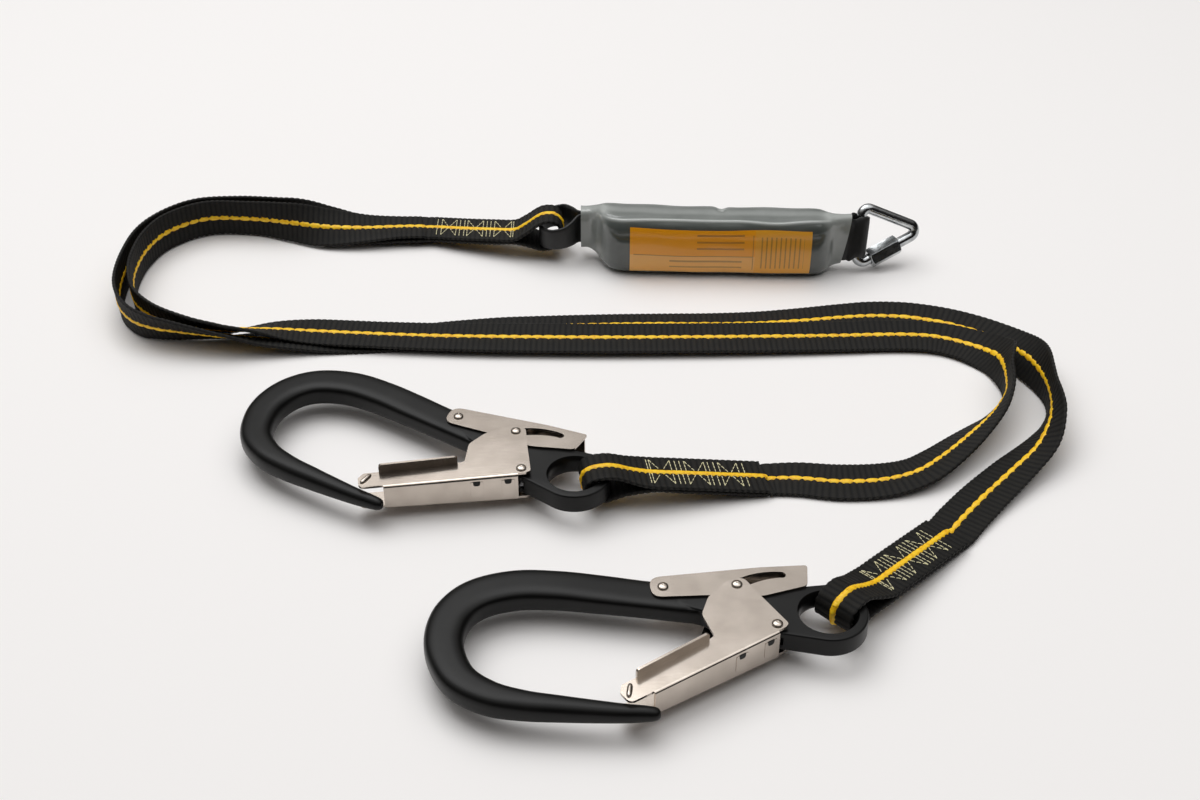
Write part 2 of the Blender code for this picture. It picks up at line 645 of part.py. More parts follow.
def gate_flange(side):
    """Upright stiffening flange on the gate's inner edge, square to the cheek."""
    root = gate_height(gate_point(FLANGE_START, 0)) - GATE_SHEET * 0.6
    root_tip = gate_height(gate_point(FLANGE_END, 0)) - GATE_SHEET * 0.6
    outline = rounded([(FLANGE_START, root, 0), (FLANGE_END, root_tip, 0), (FLANGE_END, HOOK_PLANE_Z, FLANGE_ROUND),
                       (FLANGE_START, HOOK_PLANE_Z, FLANGE_ROUND)], 4)
    shape = bmesh.new()
    faces = []
    for offset in (FLANGE_FACE_OFFSET, FLANGE_FACE_OFFSET + GATE_SHEET):
        row = []
        for run, height in outline:
            spot = gate_point(run, offset)
            row.append(shape.verts.new((spot.x, spot.y, side * height)))
        faces.append(row)
    shape.faces.new(faces[0])
    shape.faces.new(list(reversed(faces[1])))
    for i in range(len(outline)):
        j = (i + 1) % len(outline)
        shape.faces.new((faces[0][i], faces[1][i], faces[1][j], faces[0][j]))
    return shape


def gate():
    parts = [mesh_of(cheek(1), "cheek"), mesh_of(cheek(-1), "cheek"), mesh_of(gate_web(), "web"),
             mesh_of(gate_flange(1), "flange"), mesh_of(gate_flange(-1), "flange")]
    whole = join_all(parts)
    return cut_all(whole, [mesh_of(sheet_hole(Vector((0, 0))), "hole"), mesh_of(sheet_hole(GUIDE_PIN), "hole")])


def sheet_hole(point):
    reach = HOOK_PLANE_Z
    shape = lathe([(0, -reach), (RIVET_R + GAP, -reach), (RIVET_R + GAP, reach), (0, reach)], 16)
    shape.transform(Matrix.Translation((point[0], point[1], 0.0)))
    return shape


def lever_outline():
    x, y = LEVER_PIVOT / MM
    back = LEVER_BACK_Y / MM
    end = LEVER_BACK_END / MM
    corners = [(x - 7.0, y - 7.2, 7.0), (-31.0, 28.8, 20.0), (-3.0, 24.4, 20.0), (end - 1.5, 29.6, 4.0),
               (end + 2.0, back - 1.2, 2.0), (0.0, back + 0.4, 20.0), (x - 7.0, back, 8.0)]
    return rounded([(a * MM, b * MM, r * MM) for a, b, r in corners], 4)


def lever_slot():
    """Slot for the guide pin: the open gate's arc, and the way into it from the locked notch."""
    room = RIVET_R + GAP

    def in_lever(share):
        """Pin's place in the lever's frame when the gate is open by a share of its range."""
        swing = Matrix.Rotation(math.radians(-GATE_OPEN_DEG * share), 2)
        press = Matrix.Rotation(math.radians(LEVER_PRESS_DEG * share), 2)
        return LEVER_PIVOT + press @ (swing @ GUIDE_PIN - LEVER_PIVOT)

    press = Matrix.Rotation(math.radians(LEVER_PRESS_DEG), 2)
    centre = LEVER_PIVOT + press @ (-LEVER_PIVOT)
    start = math.degrees(math.atan2(GUIDE_PIN.y, GUIDE_PIN.x)) + LEVER_PRESS_DEG
    end = start - GATE_OPEN_DEG - SLOT_RUN_ON_DEG
    radius = GUIDE_PIN.length
    upper = arc_points(centre, radius + room, start - 1.5, end, 10)
    tip = arc_points(centre, radius, end, end, 1)[0]
    round_end = arc_points(tip, room, end - 20, end - 160, 5)
    lower = []
    for i in range(9):
        share = 1.0 - i / 8
        here = in_lever(share)
        ahead = in_lever(share - 0.02) - here
        inward = Vector((ahead.y, -ahead.x)).normalized()
        if inward.y > 0:
            inward = -inward
        lower.append(here + inward * room)
    notch = arc_points(GUIDE_PIN, room, 285, 150, 7)
    outline = upper + round_end + lower + notch
    return prism(outline, -HOOK_PLANE_Z, HOOK_PLANE_Z)


def lever():
    inner = BODY_THICK / 2 + GAP
    outer = inner + LEVER_SHEET
    outline = lever_outline()
    plates = [mesh_of(prism(outline, inner, outer), "plate"), mesh_of(prism(outline, -outer, -inner), "plate")]
    low = LEVER_BACK_Y - LEVER_SHEET - LEVER_BACK_INSET
    back = prism([(LEVER_BACK_START, low), (LEVER_BACK_END, low), (LEVER_BACK_END, low + LEVER_SHEET),
                  (LEVER_BACK_START, low + LEVER_SHEET)], -outer + LEVER_SHEET * 0.4, outer - LEVER_SHEET * 0.4)
    whole = join_all(plates + [mesh_of(back, "back")])
    return cut_all(whole, [mesh_of(sheet_hole(LEVER_PIVOT), "hole"), mesh_of(lever_slot(), "slot")])


def rivet(seat_height):
    """Shaft with a domed head at both ends, seated just off the sheets."""
    seat = seat_height + RIVET_SEAT
    upper = [(RIVET_R, seat), (RIVET_HEAD_R, seat), (RIVET_HEAD_R * 0.92, seat + RIVET_HEAD_H * 0.5),
             (RIVET_HEAD_R * 0.55, seat + RIVET_HEAD_H * 0.9)]
    lower = [(r, -z) for r, z in reversed(upper)]
    top = seat + RIVET_HEAD_H
    return lathe([(0, -top)] + lower + upper + [(0, top)], 12)


def torsion_spring(first_deg, turns, first_tip, last_tip):
    """Coil round a rivet, with a straight leg to a tip at each end. Negative turns run clockwise."""
    radius = RIVET_R + SPRING_ROOM + SPRING_WIRE_R
    rise = 2 * SPRING_WIRE_R + SPRING_PITCH_ROOM
    count = int(abs(turns) * 10)
    coil = []
    for i in range(count + 1):
        angle = math.radians(first_deg) + 2 * math.pi * turns * i / count
        height = rise * abs(turns) * (i / count - 0.5)
        coil.append(Vector((radius * math.cos(angle), radius * math.sin(angle), height)))
    start = Vector((first_tip[0], first_tip[1], coil[0].z))
    end = Vector((last_tip[0], last_tip[1], coil[-1].z))
    return tube([start] + coil + [end], SPRING_WIRE_R, 5)


def gate_spring():
    """Closes the gate: one leg on the gate's web, one in the forging's slot."""
    web_tip = gate_point(15.0 * MM, WEB_FACE_OFFSET - GATE_SHEET - GAP - SPRING_WIRE_R)
    outward = GATE_LINE_DEG + 90.0 - 360.0
    end_deg = 76.0
    turns = (end_deg - outward) / 360.0 + SPRING_TURNS
    return torsion_spring(outward, turns, web_tip, (-9.5 * MM, 5.2 * MM))


def lever_spring():
    """Lifts the lever: one leg in the forging's slot, one under the lever's back."""
    back = LEVER_BACK_Y - LEVER_SHEET - LEVER_BACK_INSET - LEVER_PIVOT.y - GAP - SPRING_WIRE_R
    return torsion_spring(-90.0, -(SPRING_TURNS + 0.5), (12.0 * MM, LEVER_SLOT_FLOOR + GAP + SPRING_WIRE_R),
                          (15.0 * MM, back))


def hook(letter, hook_data, meshes):
    """Place one whole hook on its sewn eye."""
    bar = bar_place(hook_data)
    swing = empty(f"hook_{letter}_swing", None, bar, hook_data["turn"])
    strap = math.radians(hook_data["strap"] - hook_data["turn"])
    away = Vector((math.cos(strap), math.sin(strap))) * (EYE_HOLE_R + EYE_WALL / 2)
    offset = EYE_CENTRE + away
    frame = empty(f"hook_{letter}_frame", swing, (-offset.x, -offset.y, 0.0))
    lever_at = (LEVER_PIVOT.x, LEVER_PIVOT.y, 0.0)
    pin_at = (GUIDE_PIN.x, GUIDE_PIN.y, 0.0)
    place(f"hook_{letter}_body", meshes["body"], "forging", frame, (offset.x, offset.y, 0.0), 28.0)
    place(f"hook_{letter}_gate", meshes["gate"], "stainless", frame)
    place(f"hook_{letter}_lock_lever", meshes["lever"], "stainless", frame, lever_at)
    for kind, name, spot in (("stainless", "gate_rivet", (0, 0, 0)), ("stainless", "guide_pin", pin_at),
                             ("stainless", "lever_rivet", lever_at), ("spring_steel", "gate_spring", (0, 0, 0)),
                             ("spring_steel", "lever_spring", lever_at)):
        made = place(f"hook_{letter}_{name}", meshes[name], kind, frame)
        made.location = spot


def hook_meshes():
    gate_seat = GATE_HALF_HEIGHT
    lever_seat = BODY_THICK / 2 + GAP + LEVER_SHEET
    return {"body": forging(), "gate": gate(), "lever": lever(),
            "gate_rivet": mesh_of(rivet(gate_seat), "gate_rivet"),
            "guide_pin": mesh_of(rivet(gate_height(GUIDE_PIN)), "guide_pin"),
            "lever_rivet": mesh_of(rivet(lever_seat), "lever_rivet"),
            "gate_spring": mesh_of(gate_spring(), "gate_spring"),
            "lever_spring": mesh_of(lever_spring(), "lever_spring")}


# Absorber sections: x, middle y, middle z, half depth, half height, squareness
SLEEVE_STATIONS = [
    (-14.0, 1062.8, 25.0, 6.8, 15.8, 4.0), (-8.0, 1062.4, 25.0, 7.0, 16.2, 3.6), (-3.0, 1060.0, 24.8, 9.6, 18.6, 2.7),
    (2.0, 1055.0, 24.4, 14.0, 21.4, 2.9), (9.0, 1051.0, 24.0, 16.6, 23.0, 3.2), (22.0, 1049.0, 23.8, 17.2, 23.3, 3.4),
    (60.0, 1047.0, 23.5, 16.8, 23.0, 3.4), (100.0, 1045.4, 23.5, 16.4, 23.0, 3.4), (140.0, 1043.6, 23.8, 16.0, 23.2, 3.4),
    (156.0, 1042.8, 24.0, 15.4, 23.2, 3.2), (164.0, 1043.0, 24.0, 12.6, 22.4, 2.9), (169.0, 1044.0, 24.2, 8.6, 21.4, 2.7),
    (174.0, 1045.0, 24.4, 6.8, 20.6, 2.6), (179.0, 1046.0, 24.6, 6.4, 20.2, 2.6)]


def sleeve_ring(row, inset, count=18):
    x, y, z, half_y, half_z, power = row
    return [Vector((x, y + u, z + v)) for u, v in superellipse(half_y - inset, half_z - inset, power / MM, count)]


def sleeve_rows(count, first=0, last=None):
    stations = SLEEVE_STATIONS[first:last]
    return smooth_through([tuple(value * MM for value in row) for row in stations], count)


def absorber_sleeve():
    """Shrunk-on cover, open at both necks."""
    rows = sleeve_rows(SLEEVE_RINGS)
    shape = bmesh.new()
    grids = []
    for inset in (0.0, SLEEVE_WALL):
        grids.append([[shape.verts.new(p) for p in sleeve_ring(row, inset)] for row in rows])
    count = len(grids[0][0])
    for grid in grids:
        for low, high in zip(grid, grid[1:]):
            for i in range(count):
                j = (i + 1) % count
                shape.faces.new((low[i], low[j], high[j], high[i]))
    for end in (0, -1):
        for i in range(count):
            j = (i + 1) % count
            shape.faces.new((grids[0][end][i], grids[0][end][j], grids[1][end][j], grids[1][end][i]))
    return place("absorber_sleeve", mesh_of(shape, "absorber_sleeve"), "sleeve")


def sleeve_row_at(rows, x):
    """The sleeve's section at one x, from closely spaced rows."""
    for here, there in zip(rows, rows[1:]):
        if there[0] >= x:
            share = (x - here[0]) / (there[0] - here[0])
            return [a + (b - a) * share for a, b in zip(here, there)]
    return rows[-1]


def tear_webbing():
    """Folded tear webbing that fills the sleeve between its two end loops."""
    rows = sleeve_rows(SLEEVE_RINGS)
    between = [row for row in rows if TEAR_START + GAP < row[0] < TEAR_END - GAP]
    rings = [sleeve_ring(sleeve_row_at(rows, TEAR_START), SLEEVE_WALL + 2 * GAP)]
    rings += [sleeve_ring(row, SLEEVE_WALL + GAP) for row in between]
    rings.append(sleeve_ring(sleeve_row_at(rows, TEAR_END), SLEEVE_WALL + 2 * GAP))
    return place("absorber_tear_webbing", mesh_of(loft(rings), "tear"), "tear_webbing")


def absorber_label():
    """Plain label laid on the sleeve's near face."""
    shape = bmesh.new()
    fine = sleeve_rows(SLEEVE_FINE)
    step = (LABEL_END - LABEL_START) / LABEL_STEPS
    rows = [sleeve_row_at(fine, LABEL_START + step * i) for i in range(LABEL_STEPS + 1)]
    sheets = []
    for lift in (GAP, GAP + LABEL_THICK):
        grid = []
        for x, y, z, half_y, half_z, power in rows:
            line = []
            for step in range(7):
                height = (-0.78 + 1.5 * step / 6) * half_z
                share = 1 - abs(height / half_z) ** (power / MM)
                depth = half_y * max(share, 0.0) ** (MM / power)
                line.append(shape.verts.new((x, y - depth - lift, z + height)))
            grid.append(line)
        sheets.append(grid)
    low, high = sheets
    for grid in sheets:
        for a, b in zip(grid, grid[1:]):
            for i in range(6):
                shape.faces.new((a[i], b[i], b[i + 1], a[i + 1]))
    for a, b in zip(range(len(rows) - 1), range(1, len(rows))):
        for edge in (0, 6):
            shape.faces.new((low[a][edge], low[b][edge], high[b][edge], high[a][edge]))
    for end in (0, -1):
        for i in range(6):
            shape.faces.new((low[end][i], low[end][i + 1], high[end][i + 1], high[end][i]))
    return place("absorber_label", mesh_of(shape, "absorber_label"), "label")


def absorber_eyes():
    """The tear webbing's two end loops: one round the centre loop, one round the link."""
    tail = (TEAR_START - GAP) / MM
    hold = EYE_HOLD_HALF / MM
    x, y, z = CENTRE_LOOP_HOLD / MM
    left = [(tail, 1064.4, 25, 12.2), (-8, 1064.8, 25, 12.2), (-15.5, 1065.3, 25, 12.2), (-21, 1074, 24, 12.2),
            (-27, 1082.4, 22.6, 11.0), (-36, 1083.4, 21.2, 9.6), (x + 0.3, y + 9.5, z, hold), (x, y, z, hold),
            (x + 0.3, y - 9.5, z, hold), (-36, 1050.6, 21.2, 9.6), (-27, 1051, 22.6, 11.0), (-21, 1054.6, 24, 12.2),
            (-15.5, 1060.3, 25, 12.2), (-8, 1060.0, 25, 12.2), (tail, 1059.6, 25, 12.2)]
    rows = smooth_through([tuple(v * MM for v in row) for row in left], 34)
    centres = [Vector(row[:3]) for row in rows]
    halves = [Vector((0, 0, row[3])) for row in rows]
    place("absorber_eye_leg_side", mesh_of(band(centres, halves, EYE_BAND_THICK), "eye"), "webbing")
    bar = (LINK_TOP - LINK_FOOT).normalized()
    middle = (LINK_TOP + LINK_FOOT) / 2
    room = LINK_WIRE_R + GAP + EYE_BAND_THICK / 2
    into = Vector((-1.0, 0.0, 0.0))
    into = (into - bar * into.dot(bar)).normalized()
    side = bar.cross(into)
    path = []
    for turn in range(0, 9):
        angle = math.radians(-104 + 208 * turn / 8)
        path.append(middle - into * (room * math.cos(angle)) + side * (room * math.sin(angle)))
    upright = Vector((0, 0, 1))
    across = Vector((0, 1, 0)) if side.y > 0 else Vector((0, -1, 0))
    entry = []
    tail = (TEAR_END + GAP) / MM
    for x, y, z, spread, half, share in ((tail, 1043.2, 24.2, 2.6, 13.0, 0.0), (174.0, 1045.0, 24.4, 2.7, 13.0, 0.0),
                                         (180.0, 1046.2, 24.7, 3.2, 12.4, 0.1), (182.2, 1047.0, 25.0, 4.2, 12.0, 0.6),
                                         (184.2, 1047.8, 25.2, 4.9, 11.6, 1.0)):
        spot = Vector((x, y, z)) * MM
        entry.append((spot, spread * MM, half * MM, (upright * (1 - share) + bar * share).normalized()))
    centres = [spot - across * spread for spot, spread, half, way in entry] + path
    centres += [spot + across * spread for spot, spread, half, way in reversed(entry)]
    halves = [way * half for spot, spread, half, way in entry] + [bar * 11.0 * MM for spot in path]
    halves += [way * half for spot, spread, half, way in reversed(entry)]
    place("absorber_eye_link_side", mesh_of(band(centres, halves, EYE_BAND_THICK), "eye"), "webbing")


def link_corner(before, corner, after, steps=6):
    """Rounded corner of the link's centreline."""
    way_in = (before - corner).normalized()
    way_out = (after - corner).normalized()
    half = way_in.angle(way_out) / 2
    reach = LINK_CORNER_R / math.tan(half)
    centre = corner + (way_in + way_out).normalized() * (LINK_CORNER_R / math.sin(half))
    start = corner + way_in * reach - centre
    end = corner + way_out * reach - centre
    axis = start.cross(end).normalized()
    sweep = start.angle(end)
    return [centre + Matrix.Rotation(sweep * k / steps, 3, axis) @ start for k in range(steps + 1)]


def quick_link():
    """Open bent bar and the hexagonal nut that closes it."""
    way = (LINK_APEX - LINK_FOOT).normalized()
    nut_middle = LINK_FOOT.lerp(LINK_APEX, NUT_PLACE)
    gap_start = nut_middle - way * (NUT_LENGTH / 2 - LINK_END_IN_NUT)
    points = [gap_start]
    points += link_corner(LINK_APEX, LINK_FOOT, LINK_TOP)
    points += link_corner(LINK_FOOT, LINK_TOP, LINK_APEX)
    points += link_corner(LINK_TOP, LINK_APEX, LINK_FOOT)
    points.append(gap_start + way * LINK_GAP)
    middle = (LINK_TOP + LINK_FOOT) / 2
    place("quick_link_body", mesh_of(tube(points, LINK_WIRE_R, 12), "link"), "zinc", None, middle)
    outer = [Vector((NUT_FLATS / math.sqrt(3) * math.cos(math.radians(60 * k + 8)),
                     NUT_FLATS / math.sqrt(3) * math.sin(math.radians(60 * k + 8)))) for k in range(6)]
    nut = prism(outer, -NUT_LENGTH / 2, NUT_LENGTH / 2)
    bore_r = LINK_WIRE_R + GAP
    bore = lathe([(0, -NUT_LENGTH), (bore_r, -NUT_LENGTH), (bore_r, NUT_LENGTH), (0, NUT_LENGTH)], 18)
    whole = combine(mesh_of(nut, "nut"), mesh_of(bore, "bore"), "DIFFERENCE")
    made = place("quick_link_nut", whole, "zinc")
    made.rotation_mode = "QUATERNION"
    made.rotation_quaternion = way.to_track_quat("Z", "Y")
    made.location = nut_middle


def stand_at_origin():
    """Move everything so that the rigid pieces stand centred over the origin."""
    bpy.context.view_layer.update()
    corners = []
    for item in bpy.data.objects:
        if item.type == "MESH" and not item.name.startswith("leg_"):
            corners += [item.matrix_world @ vert.co for vert in item.data.vertices]
    low = [min(c[k] for c in corners) for k in range(3)]
    high = [max(c[k] for c in corners) for k in range(3)]
    shift = Vector((-(low[0] + high[0]) / 2, -(low[1] + high[1]) / 2, -low[2]))
    for item in bpy.data.objects:
        if item.parent is None:
            item.location = item.location + shift
    print(f"moved by {shift.x:.6f} {shift.y:.6f} {shift.z:.6f}")


def build():
    clear_scene()
    leg("leg_a_webbing", LEG_A_ROUTE, HOOK_A, 1)
    leg("leg_b_webbing", LEG_B_ROUTE, HOOK_B, -1)
    centre_loop()
    hook_eye("hook_a_eye_loop", HOOK_A)
    hook_eye("hook_b_eye_loop", HOOK_B)
    meshes = hook_meshes()
    hook("a", HOOK_A, meshes)
    hook("b", HOOK_B, meshes)
    absorber_sleeve()
    tear_webbing()
    absorber_label()
    absorber_eyes()
    quick_link()
    stand_at_origin()


build()
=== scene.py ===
import json
from bisect import bisect
from math import atan2, cos, degrees, exp, pi, radians, sin, sqrt, tan

import bmesh
import bpy
from mathutils import Matrix, Vector

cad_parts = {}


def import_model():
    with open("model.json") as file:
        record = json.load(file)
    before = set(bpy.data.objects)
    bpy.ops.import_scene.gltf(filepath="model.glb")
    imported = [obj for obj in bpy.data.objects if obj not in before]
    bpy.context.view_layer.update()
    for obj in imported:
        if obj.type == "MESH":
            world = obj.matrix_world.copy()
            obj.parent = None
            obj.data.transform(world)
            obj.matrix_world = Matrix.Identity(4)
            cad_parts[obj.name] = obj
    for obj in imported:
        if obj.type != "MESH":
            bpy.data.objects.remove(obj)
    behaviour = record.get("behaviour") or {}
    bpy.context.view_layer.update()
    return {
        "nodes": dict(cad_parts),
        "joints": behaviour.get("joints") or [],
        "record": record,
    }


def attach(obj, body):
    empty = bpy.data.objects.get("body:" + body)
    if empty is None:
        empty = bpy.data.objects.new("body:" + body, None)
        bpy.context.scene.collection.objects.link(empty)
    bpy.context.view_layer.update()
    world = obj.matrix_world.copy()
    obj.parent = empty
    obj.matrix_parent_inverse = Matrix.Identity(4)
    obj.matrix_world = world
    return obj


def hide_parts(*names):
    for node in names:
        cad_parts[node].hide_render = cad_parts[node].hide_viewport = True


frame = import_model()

MM = 0.001
GAP = 0.3 * MM


def mm(*values):
    """Vector of values given in millimetres."""
    return Vector(values) * MM


# Webbing
WEB_WIDTH = 30.0 * MM
WEB_THICK = 2.4 * MM
SEWN_THICK = 5.2 * MM
RIB_PITCH = 3.9 * MM
RIB_STEPS = 8
LEG_RIB = 0.26
EYE_RIB = 0.3
EDGE_RIB = 0.02
BEAD_PITCH = 7.8 * MM
BEAD_LENGTH = 8.1 * MM
BEAD_WIDTH = 4.4 * MM
BEAD_HEIGHT = 0.7 * MM
STITCH_PITCH = 3.5 * MM
STITCH_LENGTH = 2.6 * MM
STITCH_REACH = 11.4 * MM
THREAD_R = 0.24 * MM
THREAD_ARCH = 0.28 * MM
# Bars, and corners of the crosses, along a sewn eye from its bar or hold, in mm
STITCH_BARS = [25.2, 27.0, 40.3, 43.4, 46.4, 49.4, 62.1, 64.6, 68.2, 71.2, 83.3, 86.9]
STITCH_CROSSES = [(27.0, 40.3), (49.4, 62.1), (71.2, 83.3)]
CENTRE_STITCH_SHIFT = -7.9 * MM

# Layout on the floor, from the point under the camera
HOOK_PLANE_Z = 17.0 * MM
HOOK_TAB_END = 99.0 * MM
END_RUN = 7.0 * MM
EYE_TAB_DROP = 13.4 * MM
EYE_CENTRE = mm(30.5, 9.3)
EYE_HOLE_R = 15.3 * MM
EYE_WALL = 6.7 * MM
EYE_LOOP_WIDTH = 24.5 * MM
EYE_LOOP_NARROW = 5.0 * MM
HOOK_A = {"pivot": mm(-47.2, 777.2), "turn": -17.9, "strap": 9.2, "drop": 0.6}
HOOK_B = {"pivot": mm(95.0, 644.7), "turn": 7.3, "strap": 46.8, "drop": 4.2}
CENTRE_LOOP_START = -124.0 * MM
CENTRE_LOOP_Y = 1089.0 * MM
CENTRE_LOOP_START_Z = 6.8 * MM
CENTRE_LOOP_HOLD = mm(-43.5, 1067.0, 20.5)
CENTRE_LOOP_DROP = 5.0 * MM
CENTRE_LOOP_NARROW = 0.78
EYE_HOLD_HALF = 8.372 * MM
EYE_BAND_THICK = 2.2 * MM
FLAT = 90.0
# Inner faces of both kinds of loop from the bar's middle, in mm, and where the curve starts, in degrees
EYE_LOOP = {"reach": 12.3, "roof": 7.8, "floor": 7.2, "join": 27.0, "crest": 105.0}
CENTRE_LOOP = {"reach": 14.0, "roof": 11.7, "floor": 9.4, "join": 20.0, "crest": 115.0}
LOOP_FOOT_DEG = 262.0
LOOP_SQUARE = 3.0

# Hook, in its own frame: origin at the gate pivot, +X to the eye
BODY_THICK = 12.5 * MM
EYE_FLARE = 1.8 * MM
EYE_EDGE_ROUND = 2.04 * MM
GATE_SHEET = 1.5 * MM
GATE_EDGE_ROUND = 0.3 * MM
GATE_LINE = radians(205.1)
GATE_ALONG = Vector((cos(GATE_LINE), sin(GATE_LINE)))
GATE_OUT = Vector((-GATE_ALONG.y, GATE_ALONG.x))
GATE_HALF_HEIGHT = 9.8 * MM
GATE_TAPER = 0.0163
WEB_FACE = 6.0 * MM
WEB_START = 2.5 * MM
WEB_END = 82.5 * MM
BEND_R = 1.7 * MM
BEND_LAP = 0.8 * MM
FLANGE_START = 37.5 * MM
FLANGE_END = 84.8 * MM
FLANGE_LEAN = 0.045
FLANGE_FACE = -11.4 * MM
FLANGE_TOP = 14.3 * MM
FLANGE_ROUND = 2.0 * MM
TIP_RIB_ENDS = (mm(-86.4, -41.4, 0.0), mm(-84.0, -31.8, 0.0))
TIP_RIB_RUN = 88.0 * MM
TIP_RIB_R = 1.55 * MM
GATE_OPEN_DEG = 40.0
LEVER_SHEET = 1.2 * MM
LEVER_EDGE_ROUND = 0.22 * MM
LEVER_PIVOT = mm(-55.9, 38.6)
LEVER_PRESS_DEG = 4.1
LEVER_BACK_Y = 47.0 * MM
LEVER_BACK_INSET = 0.6 * MM
LEVER_BACK_START = -44.0 * MM
LEVER_BACK_END = 25.0 * MM
SLOT_EXTRA_DEG = 2.5
GUIDE_PIN = mm(-15.6, 33.1)
RIVET_R = 2.1 * MM
RIVET_HEAD_R = 3.1 * MM
RIVET_HEAD_H = 1.5 * MM
RIVET_STAND = 0.2 * MM
SPRING_SLOT_HALF = 2.7 * MM
GATE_SPRING_SLOT = [(-15, -12), (3.2, -12), (2.6, 5.5), (-12, 6.5)]
# From the lever's pivot
LEVER_SPRING_SLOT = [(-6.5, -6.0), (20.0, -6.0), (20.0, 14.0), (-6.5, 14.0)]
TAB_EDGE_ROUND = 0.1 * MM
# Tabs lanced out of the gate's web, and the hole in each, in mm: upper and lower corner on one side
# (half width, height, rounding), and the lift of both faces off the web
# Each hole is a thin dark plate on the web: painted shade standing for the opening behind its tab
TAB_RUNS = (8.5, 27.3)
TAB_PARTS = {"tab": ((3.9, 6.6, 0.6), (3.9, -5.2, 2.2), (-0.2, 0.28)),
             "hole": ((2.3, 6.9, 0.5), (1.9, 3.6, 1.6), (0.0, 0.34))}

# Absorber
FILM_POINTS = 132
FILM_THICK = 0.8 * MM
STACK_INSET = 1.4 * MM
LABEL_START = 21.5 * MM
LABEL_END = 153.0 * MM
LABEL_LIFT = 0.75 * MM
LABEL_THICK = 0.3 * MM
LABEL_LEVELS = 24
LINK_TAPE_HALF = 15.0 * MM

# Quick link
LINK_WIRE_R = 3.9 * MM
LINK_TOP = mm(191.0, 1056.0, 46.0)
LINK_FOOT = mm(187.0, 1040.0, 4.7)
LINK_APEX = mm(238.0, 1060.0, 24.0)
LINK_CORNER_R = 5.0 * MM
LINK_CORNER_STEPS = 18
LINK_GAP = 7.0 * MM
LINK_END_IN_NUT = 3.5 * MM
NUT_LENGTH = 24.0 * MM
NUT_FLATS = 13.0 * MM
NUT_CHAMFER = 1.0 * MM
NUT_FACE_SHARE = 0.93
NUT_CORNER_SHARE = 1.01
NUT_EDGE_ROUND = 0.15 * MM
NUT_PLACE = 0.41
NUT_TURN = 8

# Camera, floor and light
CAMERA_HEIGHT = 654.8 * MM
CAMERA_PITCH = 36.6
CAMERA_LENS = 50.0
CAMERA_SENSOR = 36.0
FLOOR_HALF = 6.0
SKY_TILT_Y = 0.25
SKY_TILT_X = -0.14
SKY_STRENGTH = 1.18

JOINTS = {joint["name"]: joint for joint in frame["joints"]}
SHIFT = Vector(JOINTS["absorber_swing"]["pos_m"]) - CENTRE_LOOP_HOLD

# Routes of the two legs: x, y, z of the middle in mm, and the lean of the face that is up
# at the absorber: 90 flat, 0 standing on edge
LEG_A_ROUTE = [
    (-136, 1088.5, 9.0, 90), (-153, 1087.4, 9.4, 88), (-178, 1084.0, 10.6, 76), (-206, 1082.0, 13.0, 50),
    (-233, 1084.5, 15.8, 14), (-262, 1090, 16.0, -4), (-296, 1090, 16.0, -4), (-321, 1072, 16.0, -1),
    (-332, 1047, 16.0, 0), (-334.5, 1018, 16.0, 0), (-331, 994, 16.0, 2), (-321, 971, 16.0, 7),
    (-302, 954, 16.0, 17), (-277, 945.5, 15.4, 33), (-258, 945, 13.4, 46), (-244, 946.8, 11.8, 57),
    (-223, 951.5, 8.2, 77), (-200, 952.4, 6.2, 89), (-178, 951.1, 5.8, 91), (-155, 949.4, 5.8, 91),
    (-132, 947.6, 6.0, 92), (-110, 946.2, 6.2, 93), (-87, 945.0, 6.6, 94), (-65, 944.2, 6.8, 95),
    (0, 943.2, 7.0, 96), (70, 944, 6.8, 96), (120, 945.6, 6.2, 97), (166, 947.8, 5.4, 97),
    (187, 949, 5.2, 98), (208, 949.4, 5.2, 98), (226, 948.0, 5.2, 98), (240, 944.0, 5.2, 100),
    (252.5, 936.5, 6.0, 104), (262, 926.5, 8.4, 117), (267.5, 913.5, 12.4, 140), (268, 898.5, 15.8, 163),
    (267, 884, 16.2, 176), (264.5, 871, 16.0, 172), (258.8, 859.5, 15.2, 158), (248.5, 845.8, 12.9, 138),
    (231, 828.2, 9.9, 119), (212.5, 811.4, 7.4, 106), (195.5, 799.8, 5.2, 96), (174, 793.6, 3.8, 87),
    (148, 792.0, 3.6, 84), (124, 795.8, 2.9, 87)]
